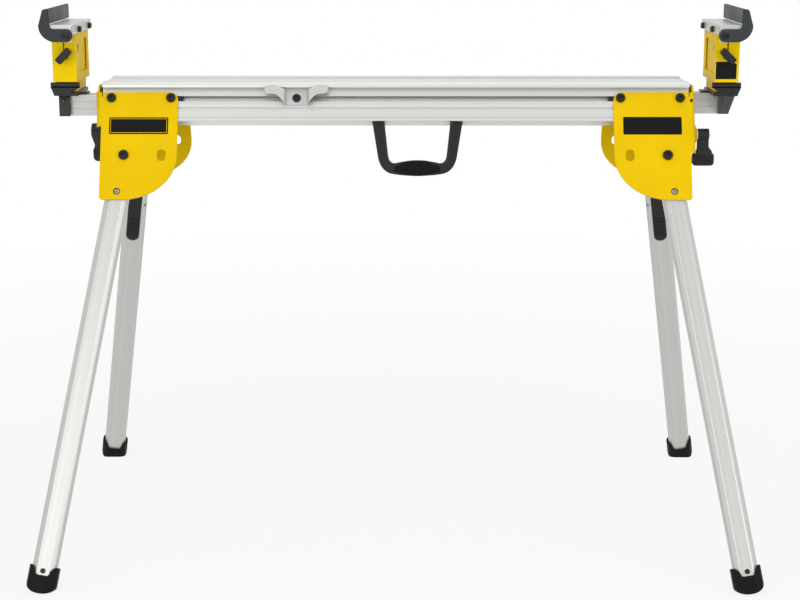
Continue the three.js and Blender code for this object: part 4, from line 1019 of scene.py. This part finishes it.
class SAWSTAND_OT_screws(Operator):
    """Build all screws and bolts, with one mesh for each body that they ride on"""

    bl_idname = "saw_stand.screws"
    bl_label = "Screws and bolts"

    def execute(self, context):
        edge = context.scene.stand_sizes.machined_edge
        heads, shanks = [], {}
        for corner, (row, side) in CORNERS.items():
            plate, way = plate_frame(row), hand(row, side)
            out = directed(plate, FRONTWARD)
            spots = [(x, SLOT_RISE, 8, 6) for x in MOUNT_REACHES] + [(PIVOT_REACH, 0, 8.6, 5.5)]
            heads += [(plate @ mm(way * x, -FIT, z), out, r, h) for x, z, r, h in spots]
            for name in (f"mount_bolts_{corner}", f"leg_pivot_bolt_{corner}"):
                shanks[name] = below_face(name, plate @ mm(0, -FIT, 0), out)
        for name, x in HANDLE_SCREWS.items():
            face = mm(x, KEEL_FACE - FIT - HANDLE_DEPTH - FIT, HANDLE_SCREW_HEIGHT)
            heads.append((face, FRONTWARD, 5, 2.6))
            shanks[name] = below_face(name, face, FRONTWARD)
        plate = plate_frame("front")
        face, out = plate @ mm(HOOK_CENTRE, 0.9, SLOT_RISE), directed(plate, FRONTWARD)
        heads.append((face, out, 7.3, 3.5))
        shanks["hook_screw"] = below_face("hook_screw", face, out)
        bm = together(screws(*heads), *shanks.values())
        piece("frame_screws", bm, "frame", "Black oxide steel", *shanks)
        for corner, (row, side) in CORNERS.items():
            place = leg_frame(row, side)
            out = directed(place, FRONTWARD)
            face = place @ mm(0, LEG_NEAR - FIT, FOOT_SCREW_RISE - LEG_RUN)
            name = f"foot_screw_{corner}"
            bm = together(screws((face, out, 4.3, 1.7)), below_face(name, face, out))
            piece(f"foot_pin_{corner}", bm, f"leg_{corner}", "Black oxide steel", name)
        for side in SIDES:
            way = sign_of(side)
            inner = RIGHTWARD * -way
            saddle, stop = f"saddle_screws_{side}", f"stop_bolt_{side}"
            spots = [mm(way * SADDLE_FACE, y, SADDLE_SCREW_HEIGHT) for y in SADDLE_SCREW_SPOTS]
            heads = [(spot, inner, 5.6, 5) for spot in spots]
            face = mm(way * STOP_AXIS[0], -112.6, STOP_AXIS[1])
            bm = together(
                screws(*heads, (face, FRONTWARD, 5.4, 4)),
                soften(below_face(saddle, spots[0], inner), edge, 2, 40),
                below_face(stop, face, FRONTWARD),
            )
            body = f"support_{side}"
            piece(f"tower_screws_{side}", bm, body, "Black oxide steel", saddle, stop)
        return {"FINISHED"}


class SAWSTAND_OT_arms(Operator):
    """Build the sliding tubes and the bars that clamp them"""

    bl_idname = "saw_stand.arms"
    bl_label = "Sliding arms"

    def execute(self, context):
        sizes = context.scene.stand_sizes
        run = Matrix.Identity(4)
        for side in SIDES:
            tube, bar = f"extension_tube_{side}", f"clamp_bar_{side}"
            bm = soften(frame_copy(tube), sizes.profile_edge, 2, 20, runs_along(RIGHTWARD))
            piece(f"arm_tube_{side}", bm, f"arm_{side}", "Mill finish aluminium", tube, run=run)
            bm = soften(frame_copy(bar), sizes.machined_edge, 2, 30)
            piece(f"clamp_jaw_{side}", bm, "frame", "Zinc plated steel", bar)
        return {"FINISHED"}


HUB_NEAR = 528.8
HUB_FAR = 548.5
PADDLES = {"left": (519, 549.5), "right": (520.5, 558.5)}
PADDLE_HALVES = {"left": 8, "right": 7}


def clamp_parts(side):
    """The slabs of a clamp lever, which hangs from its hub to its paddle."""
    low, high = PADDLES[side]
    half, z, far = PADDLE_HALVES[side], CLAMP_HEIGHT, HUB_FAR
    levels = (-CLAMP_SIDE - half, -CLAMP_SIDE + half)
    if side == "left":
        shape = [(HUB_NEAR, z + 9), (far + 1, z + 9), (far + 1.6, z - 12), (far - 5, z - 31)]
        shape += [(far - 1, z - 39), (far - 1.6, z - 59.5), (low, z - 59.5), (low, z - 36)]
        shape = filleted(shape + [(HUB_NEAR, z - 31)], [2, 8, 22, 6, 9, 8, 4, 3, 3])
        return [slab(shape, *levels, rims=(3, 3))]
    arm = [(HUB_NEAR, z + 4), (far, z + 4), (far, z - 21), (far + (high - far) * 0.6, z - 29)]
    arm += [(high - 4, z - 34), (low + 4, z - 34), (HUB_NEAR, z - 26)]
    paddle = rounded_rectangle(low, high, z - 54.5, z - 31.5, 6)
    return [slab(arm, -CLAMP_SIDE - 6, -CLAMP_SIDE + 6), slab(paddle, *levels, rims=(2, 2))]


class SAWSTAND_OT_clamp_levers(Operator):
    """Build the moulded clamp levers with their washers"""

    bl_idname = "saw_stand.clamp_levers"
    bl_label = "Clamp levers"

    def execute(self, context):
        along_x = shift(0, -CLAMP_SIDE, CLAMP_HEIGHT) @ turn_about("Y", 90)
        hubs = {"left": 9, "right": 10.5}
        for side in SIDES:
            low, high = PADDLES[side]
            hub = spindle(hubs[side], HUB_NEAR, HUB_FAR, along_x, 40)
            body = moulded(together(hub, *clamp_parts(side)), 0.8, 9)
            size = {"pitch": 2.6, "length": high - low - 9, "width": 1.5, "height": 0.9}
            half = PADDLE_HALVES[side]
            spots = [((low + high) / 2, -CLAMP_SIDE + way * half) for way in (-1, 1)]
            rows = [ridges(shift(x, y, CLAMP_HEIGHT - 49.5), 6, **size) for x, y in spots]
            lever = moved(together(body, *rows), end_frame(side))
            name = f"clamp_lever_{side}"
            piece(f"clamp_handle_{side}", lever, name, "Black moulded plastic", name)
            washer = [(0, 500.3), (4, 500.3), (4, 526.3), (9.6, 526.3), (10, 526.7), (10, 528.4)]
            washer = turned(washer + [(9.6, HUB_NEAR), (0, HUB_NEAR)], along_x, 40)
            washer = moved(washer, end_frame(side))
            piece(f"clamp_washer_{side}", washer, name, "Zinc plated steel")
        return {"FINISHED"}


class SAWSTAND_OT_bases(Operator):
    """Build the moulded bases that sit on the arms, and their latches"""

    bl_idname = "saw_stand.bases"
    bl_label = "Support bases"

    def execute(self, context):
        edge = context.scene.stand_sizes.moulded_edge * 0.7
        for side in SIDES:
            base, latch = f"support_base_{side}", f"support_latch_{side}"
            bm = soften(frame_copy(base), edge, 2, 30)
            piece(f"base_{side}", bm, f"arm_{side}", "Black moulded plastic", base)
            bm = soften(frame_copy(latch), edge, 2, 30)
            piece(f"latch_{side}", bm, f"latch_{side}", "Dark grey paint", latch)
        return {"FINISHED"}


PLUG_HEIGHTS = {"left": 16, "right": 9}
PLUG_CENTRE = 869
SLEEVE_FOOT = 816
SLEEVE_DROP = 3.3
WINDOW = (827, 883)
WINDOW_SIDES = (-46, -31.9)
SLIT_SIDES = (-44, -41.5)
SLIT_TOP = 852


class SAWSTAND_OT_towers(Operator):
    """Build the painted columns and sleeves, and the plain panel on the right one"""

    bl_idname = "saw_stand.towers"
    bl_label = "Support towers"

    def execute(self, context):
        sizes = context.scene.stand_sizes
        face, finish = COLUMN_FACE, "Yellow tower coat"
        along_x = turn_about("Z", 90) @ turn_about("X", 90)
        for side in SIDES:
            way, mirror = sign_of(side), mirror_for(side)
            column, sleeve = f"support_column_{side}", f"support_sleeve_{side}"
            (y0, y1), (z0, z1) = SLIT_SIDES, (WINDOW[0] - 4, SLIT_TOP)
            slit = brick((way * (face - 3), y0, z0), (way * (face + 5), y1, z1))
            tall = PLUG_HEIGHTS[side] / 2
            plug_shape = rounded_rectangle(
                -47, -19, PLUG_CENTRE - tall, PLUG_CENTRE + tall, tall * 0.98
            )
            pocket = slab(plug_shape, face - 2, face + 1.2, "YZ")
            bm = carved(frame_copy(column), slit, moved(pocket, mirror))
            soften(bm, sizes.sheet_edge, 2, 30)
            piece(f"column_{side}", bm, f"arm_{side}", finish, column)
            plug = slab(plug_shape, face + 0.6, face + 1.8, "YZ", rims=(0.4, 0))
            rivet = [(0, face + 1), (2.4, face + 1), (2.4, face), (1.8, face - 0.15)]
            rivet = turned(rivet + [(0, face - 0.2)], shift(0, 35, 834) @ along_x, 24)
            bm = moved(together(plug, rivet), mirror)
            piece(f"column_plug_{side}", bm, f"arm_{side}", "Foot rubber")
            (y0, y1), (z0, z1) = WINDOW_SIDES, WINDOW
            opening = brick((way * (face - 4), y0, z0), (way * (face - 0.1), y1, z1))
            bm = carved(frame_copy(sleeve), opening)
            for vert in bm.verts:
                if vert.co.z < (SLEEVE_FOOT + 0.1) * MM:
                    vert.co.z = (SLEEVE_FOOT - SLEEVE_DROP) * MM
            soften(bm, sizes.sheet_edge * 1.6, 3, 60, runs_along(Vector((0, 0, 1))))
            soften(bm, sizes.sheet_edge, 2, 30)
            piece(f"sleeve_{side}", bm, f"support_{side}", finish, sleeve)
        thick = sizes.panel_thickness / MM
        left, right, low, high = 552.8, 589.8, 818, 848
        corners = [(left, low), (right, low), (right, high - 5), (right - 5.3, high), (left, high)]
        shape = [(max(x, left + 1.1), z) for x, z in filleted(corners, 1.8)]
        panel = slab(shape, -60 - thick, -60, rims=(thick * 0.4, 0))
        piece("tower_panel", panel, "support_right", "Panel film")
        return {"FINISHED"}


EAR_HALF = 10.6


class SAWSTAND_OT_saddles(Operator):
    """Build the plated saddles on top of the towers"""

    bl_idname = "saw_stand.saddles"
    bl_label = "Saddles"

    def execute(self, context):
        edge = context.scene.stand_sizes.machined_edge
        for side in SIDES:
            way, x = sign_of(side), STOP_AXIS[0]
            cuts = [
                brick((way * (x + near), -120, 870), (way * (x + far), -102.9, 896.9))
                for near, far in ((-40, -EAR_HALF), (EAR_HALF, 60))
            ]
            name = f"support_saddle_{side}"
            bm = soften(carved(frame_copy(name), *cuts), edge * 1.2, 3, 30)
            piece(f"saddle_{side}", bm, f"support_{side}", "Zinc plated steel", name)
        return {"FINISHED"}


STOP_ARM = (-112.3, -106.3)
STOP_END = 11
BLADE_REACH = 27.8
BLADE_THICKNESS = 4
BLADE_BACK = 72


def stop_arm_outline():
    """The front view of a flip stop's arm, from its round end to its raised tip."""
    x, z = STOP_AXIS
    face = x + BLADE_REACH
    sweep = [(face - 5, z - STOP_END)]
    sweep += bezier(sweep[-1], (face + 10, z - 7), (face + 17.5, z + 2), (face + 18.6, z + 16))
    tip = [(face + 10.5, z + 44), (face, z + 45), (face, z + STOP_END), (x, z + STOP_END)]
    outline = filleted(sweep + tip, [0] * len(sweep) + [5, 1, 5.5, 0])
    return outline[:-1] + arc(x, z, STOP_END, 90, 270, 20)


class SAWSTAND_OT_stops(Operator):
    """Build the cast flip stops, each an arm with an upright blade"""

    bl_idname = "saw_stand.stops"
    bl_label = "Flip stops"

    def execute(self, context):
        edge = context.scene.stand_sizes.moulded_edge / MM
        x, z = STOP_AXIS
        front, back = STOP_ARM
        near, low, high = front + 1.5, SADDLE_TOP + 2.1, SADDLE_TOP + 27.3
        corners = [(near, low), (BLADE_BACK, low), (BLADE_BACK, high), (near, high)]
        blade_side = filleted(corners, [0, 2, 7, 0])
        for side in SIDES:
            arm = slab(stop_arm_outline(), front, back, rims=(edge * 1.4, edge))
            arm = carved(arm, slab(arc(x, z, 3.6, 0, 345, 23), front - 2, back + 2))
            face = x + BLADE_REACH
            blade = slab(blade_side, face, face + BLADE_THICKNESS, "YZ", rims=(edge, edge))
            bm = moved(together(arm, blade), mirror_for(side))
            piece(f"stop_{side}", bm, f"stop_{side}", "Dark grey paint", f"flip_stop_{side}")
        return {"FINISHED"}


KNOB_HEIGHT = 859
KNOB_TURN = 45


class SAWSTAND_OT_knobs(Operator):
    """Build the moulded height knobs"""

    bl_idname = "saw_stand.knobs"
    bl_label = "Height knobs"

    def execute(self, context):
        place = shift(SUPPORT_X - 2, 0, KNOB_HEIGHT) @ turn_about("Y", KNOB_TURN)
        stem = [(0, -70.3), (7.2, -70.3), (7.2, -64), (6.6, -63), (3.6, -63), (3.6, -52.8)]
        for side in SIDES:
            bar = slab(
                rounded_rectangle(-15, 15, -6.25, 6.25, 2.6), -84, -70, rims=(1.4, 1.4), steps=4
            )
            bar = carved(bar, slab(rounded_rectangle(1.5, 13, -4.1, 4.1, 1.2), -86, -82.8))
            bm = together(bar, turned(stem + [(0, -52.8)], turn_about("X", -90)))
            bm = moved(bm, mirror_for(side) @ place)
            name = f"height_knob_{side}"
            piece(f"knob_{side}", bm, f"knob_{side}", "Black moulded plastic", name)
        return {"FINISHED"}


def handle_outline():
    """The front view of the carry handle: two tapering arms and a crowned grip."""
    top = 752
    outer = [(80.5, top), (69.8, 684)]
    outer += bezier(outer[-1], (67.5, 668), (61, 656), (47, 651.6))
    outer += bezier(outer[-1], (34, 648.6), (15, 647.4), (0, 647.4))
    inner = [(58.6, top), (51.4, 684)]
    inner += bezier(inner[-1], (50.4, 675), (47, 669), (39, 669.3))
    inner += quadratic(inner[-1], (20, 674.2), (0, 674.2))
    return swept_over(outer, HANDLE_CENTRE) + swept_over(inner, HANDLE_CENTRE)[::-1]


GRIP_PROUD = 0.25


def grip_outline(proud):
    """The lens-shaped rubber sleeve over the middle of the handle."""
    half, end = 41, 660.5
    upper, lower = [(half, end + 6)], [(half + 2, end - 6)]
    upper += quadratic(upper[0], (half / 2 + 2, 674.6 + proud), (0, 674.2 + proud))
    lower += quadratic(lower[0], (half / 2 + 4, 647.6 - proud), (0, 647.4 - proud))
    return swept_over(upper, HANDLE_CENTRE) + swept_over(lower, HANDLE_CENTRE)[::-1]


class SAWSTAND_OT_handle(Operator):
    """Build the carry handle under the beam, with the sleeve on its grip"""

    bl_idname = "saw_stand.handle"
    bl_label = "Carry handle"

    def execute(self, context):
        soft = (context.scene.stand_sizes.grip_round / MM,) * 2
        back, proud = KEEL_FACE - FIT, GRIP_PROUD
        front = back - HANDLE_DEPTH
        bm = slab(handle_outline(), front, back, rims=soft, steps=5)
        piece("handle_grip", bm, "frame", "Black moulded plastic", "carry_handle")
        bm = slab(grip_outline(proud), front - proud, back + proud, rims=soft, steps=5)
        piece("handle_sleeve", bm, "frame", "Foot rubber")
        return {"FINISHED"}


# Stations along the right half of the bent hook, from its middle to the tip of its lobe:
# across, outward from the beam, lower edge and upper edge
HOOK_STATIONS = (
    (0, 0, -12, 12),
    (9, 0, -12, 12),
    (16.6, 0, -12, 12),
    (18.8, -0.5, -12, 12),
    (19.4, -3, -12.2, 12),
    (19.6, -7, -12.6, 12),
    (20.2, -10.5, -11, 12.4),
    (22.4, -13.4, -8.6, 13.4),
    (26, -14.6, -5, 15),
    (30, -14.8, -0.8, 17.2),
    (34, -14.8, 2.4, 19),
    (38, -14.8, 3.6, 19.8),
    (47, -14.8, 3.9, 19.9),
)
HOOK_TIP = 8.5
HOOK_SHEET = 2.4
HOOK_SEAT = 2.2
HOOK_ROWS = 5


class SAWSTAND_OT_hook(Operator):
    """Build the plated accessory hook as one bent strip of sheet"""

    bl_idname = "saw_stand.hook"
    bl_label = "Accessory hook"

    def execute(self, context):
        stations = list(HOOK_STATIONS)
        x, y, low, high = stations[-1]
        middle, half = (low + high) / 2, (high - low) / 2
        for t in map(math.radians, (25, 45, 62, 76, 86)):
            reach = half * math.cos(t)
            stations.append((x + HOOK_TIP * math.sin(t), y, middle - reach, middle + reach))
        stations = [(-x, y, low, high) for x, y, low, high in stations[:0:-1]] + stations
        bm = bmesh.new()
        rings = []
        for x, y, low, high in stations:
            x, y = HOOK_CENTRE + x, y + HOOK_SEAT
            rises = [SLOT_RISE + low + (high - low) * k / HOOK_ROWS for k in range(HOOK_ROWS + 1)]
            rings.append([bm.verts.new(mm(x, y, z)) for z in rises])
        for ring, after in zip(rings, rings[1:]):
            for k in range(HOOK_ROWS):
                bm.faces.new((ring[k], after[k], after[k + 1], ring[k + 1]))
        bmesh.ops.recalc_face_normals(bm, faces=bm.faces)
        smooth = ("SUBSURF", {"levels": 2, "render_levels": 2})
        thicken = ("SOLIDIFY", {"thickness": HOOK_SHEET * MM, "offset": 0})
        bm = soften(through(as_mesh(bm), smooth, thicken), 0.5 * MM, 2, 60)
        bm = moved(bm, plate_frame("front"))
        piece("hook", bm, "frame", "Zinc plated steel", "accessory_hook")
        return {"FINISHED"}


# ---------------------------------------------------------------- studio


# Place and width of each lamp in metres, and where they all point
LAMPS = {
    "key": ((-1.9, -3.8, 1.5), 2.6),
    "fill": ((2.8, -3.0, 1.3), 2.2),
    "top": ((0.3, 0.6, 3.4), 5.0),
}
AIM = Vector((0, 0, 0.6))
# The camera, as fitted to the picture: place in metres, tilt in degrees, roll, focal length
CAMERA_PLACE = (0.0166, -3.0917, 1.0997)
CAMERA_TILT = 77.47
CAMERA_ROLL = 0.003
FOCAL_LENGTH = 78.44


def add_lamp(name, place, width, power):
    lamp = bpy.data.lights.new(name, "AREA")
    lamp.shape, lamp.size, lamp.energy = "DISK", width, power
    obj = link_new(name, lamp)
    obj.location = place
    obj.rotation_euler = (AIM - Vector(place)).to_track_quat("-Z", "Y").to_euler()


def mixed_shader(tree, factor, a, b):
    return first(tree, "ShaderNodeMixShader", {0: factor, 1: a, 2: b})


def shown_or_lit(tree, light, shown):
    """What the camera sees, straight or in metal or glass, apart from what gives light."""
    path = node(tree, "ShaderNodeLightPath").outputs
    seen = path["Is Camera Ray"]
    for ray in ("Is Glossy Ray", "Is Transmission Ray"):
        seen = maths(tree, "MAXIMUM", seen, path[ray])
    return mixed_shader(tree, seen, light, shown)


def floor_material(glow):
    """A matt floor that fades to white away from the stand."""
    material = bpy.data.materials.new("Studio floor")
    tree = emptied(material)
    matt = first(tree, "ShaderNodeBsdfDiffuse", {"Color": (0.9, 0.9, 0.9, 1)})
    white = first(tree, "ShaderNodeEmission", {"Color": (1, 1, 1, 1)})
    sockets = {0: object_place(tree)}
    away = node(tree, "ShaderNodeVectorMath", sockets, operation="LENGTH").outputs["Value"]
    shown = mixed_shader(tree, spread(tree, away, 0.86, 1.0, 0.9, 3.0), matt, white)
    bounce = first(tree, "ShaderNodeEmission", {"Color": (glow, glow, glow, 1)})
    surface = shown_or_lit(tree, bounce, shown)
    node(tree, "ShaderNodeOutputMaterial", {"Surface": surface})
    return material


def studio_world(studio):
    """Surroundings that are white to the camera and brighter at the front as a light."""
    world = bpy.data.worlds.new("Studio")
    tree = emptied(world)
    way = node(tree, "ShaderNodeTexCoord").outputs["Generated"]
    sockets = {0: way, 1: Vector(studio.bright_side).normalized()}
    facing = node(tree, "ShaderNodeVectorMath", sockets, operation="DOT_PRODUCT").outputs["Value"]
    limits = (studio.back_strength, studio.front_strength, -0.3, 0.85)
    strengths = (spread(tree, facing, *limits, interpolation_type="SMOOTHSTEP"), 1.0)
    light, white = (
        first(tree, "ShaderNodeBackground", {"Color": (1, 1, 1, 1), "Strength": power})
        for power in strengths
    )
    node(tree, "ShaderNodeOutputWorld", {"Surface": shown_or_lit(tree, light, white)})
    return world


class SAWSTAND_OT_stage(Operator):
    """Build the floor, the even surroundings, the lamps and the camera"""

    bl_idname = "saw_stand.stage"
    bl_label = "Studio"

    def execute(self, context):
        scene, studio = context.scene, context.scene.stand_studio
        bm = bmesh.new()
        reach, facets = studio.floor_reach, studio.floor_facets
        bmesh.ops.create_circle(bm, cap_ends=True, radius=reach, segments=facets)
        floor = link_new("floor", as_mesh(bm, "floor"))
        floor.data.materials.append(floor_material(studio.floor_glow))
        scene.world = studio_world(studio)

        for name, (place, width) in LAMPS.items():
            add_lamp(name, place, width, getattr(studio, f"{name}_power"))
        lens = bpy.data.cameras.new("camera")
        lens.sensor_width, lens.lens, lens.clip_end = 36, FOCAL_LENGTH, 60
        camera = link_new("camera", lens)
        camera.location = CAMERA_PLACE
        camera.rotation_euler = (math.radians(CAMERA_TILT), 0, CAMERA_ROLL)
        scene.camera = camera
        scene.view_settings.view_transform = "Standard"
        return {"FINISHED"}


OPERATORS = (
    SAWSTAND_OT_finishes,
    SAWSTAND_OT_beam,
    SAWSTAND_OT_brackets,
    SAWSTAND_OT_legs,
    SAWSTAND_OT_feet,
    SAWSTAND_OT_leg_locks,
    SAWSTAND_OT_screws,
    SAWSTAND_OT_arms,
    SAWSTAND_OT_clamp_levers,
    SAWSTAND_OT_bases,
    SAWSTAND_OT_towers,
    SAWSTAND_OT_saddles,
    SAWSTAND_OT_stops,
    SAWSTAND_OT_knobs,
    SAWSTAND_OT_handle,
    SAWSTAND_OT_hook,
    SAWSTAND_OT_stage,
)
SETTINGS = {
    "stand_sizes": StandSizes,
    "stand_colours": StandColours,
    "stand_studio": StudioSettings,
}


class SAWSTAND_PT_pieces(Panel):
    """Sizes, colours and the operators that build the stand"""

    bl_idname = "SAWSTAND_PT_pieces"
    bl_label = "Saw Stand"
    bl_space_type = "VIEW_3D"
    bl_region_type = "UI"
    bl_category = "Saw Stand"

    def draw(self, context):
        for owner in SETTINGS:
            values = getattr(context.scene, owner)
            column = self.layout.column(align=True)
            for key in values.__annotations__:
                column.prop(values, key)
        column = self.layout.column(align=True)
        for operator in OPERATORS:
            column.operator(operator.bl_idname)


CLASSES = (*SETTINGS.values(), *OPERATORS, SAWSTAND_PT_pieces)


def register():
    for cls in CLASSES:
        bpy.utils.register_class(cls)
    for name, cls in SETTINGS.items():
        setattr(bpy.types.Scene, name, PointerProperty(type=cls))


def unregister():
    for name in SETTINGS:
        delattr(bpy.types.Scene, name)
    for cls in reversed(CLASSES):
        bpy.utils.unregister_class(cls)


def main():
    register()
    for operator in OPERATORS:
        prefix, name = operator.bl_idname.split(".")
        getattr(getattr(bpy.ops, prefix), name)()


if __name__ == "__main__":
    main()
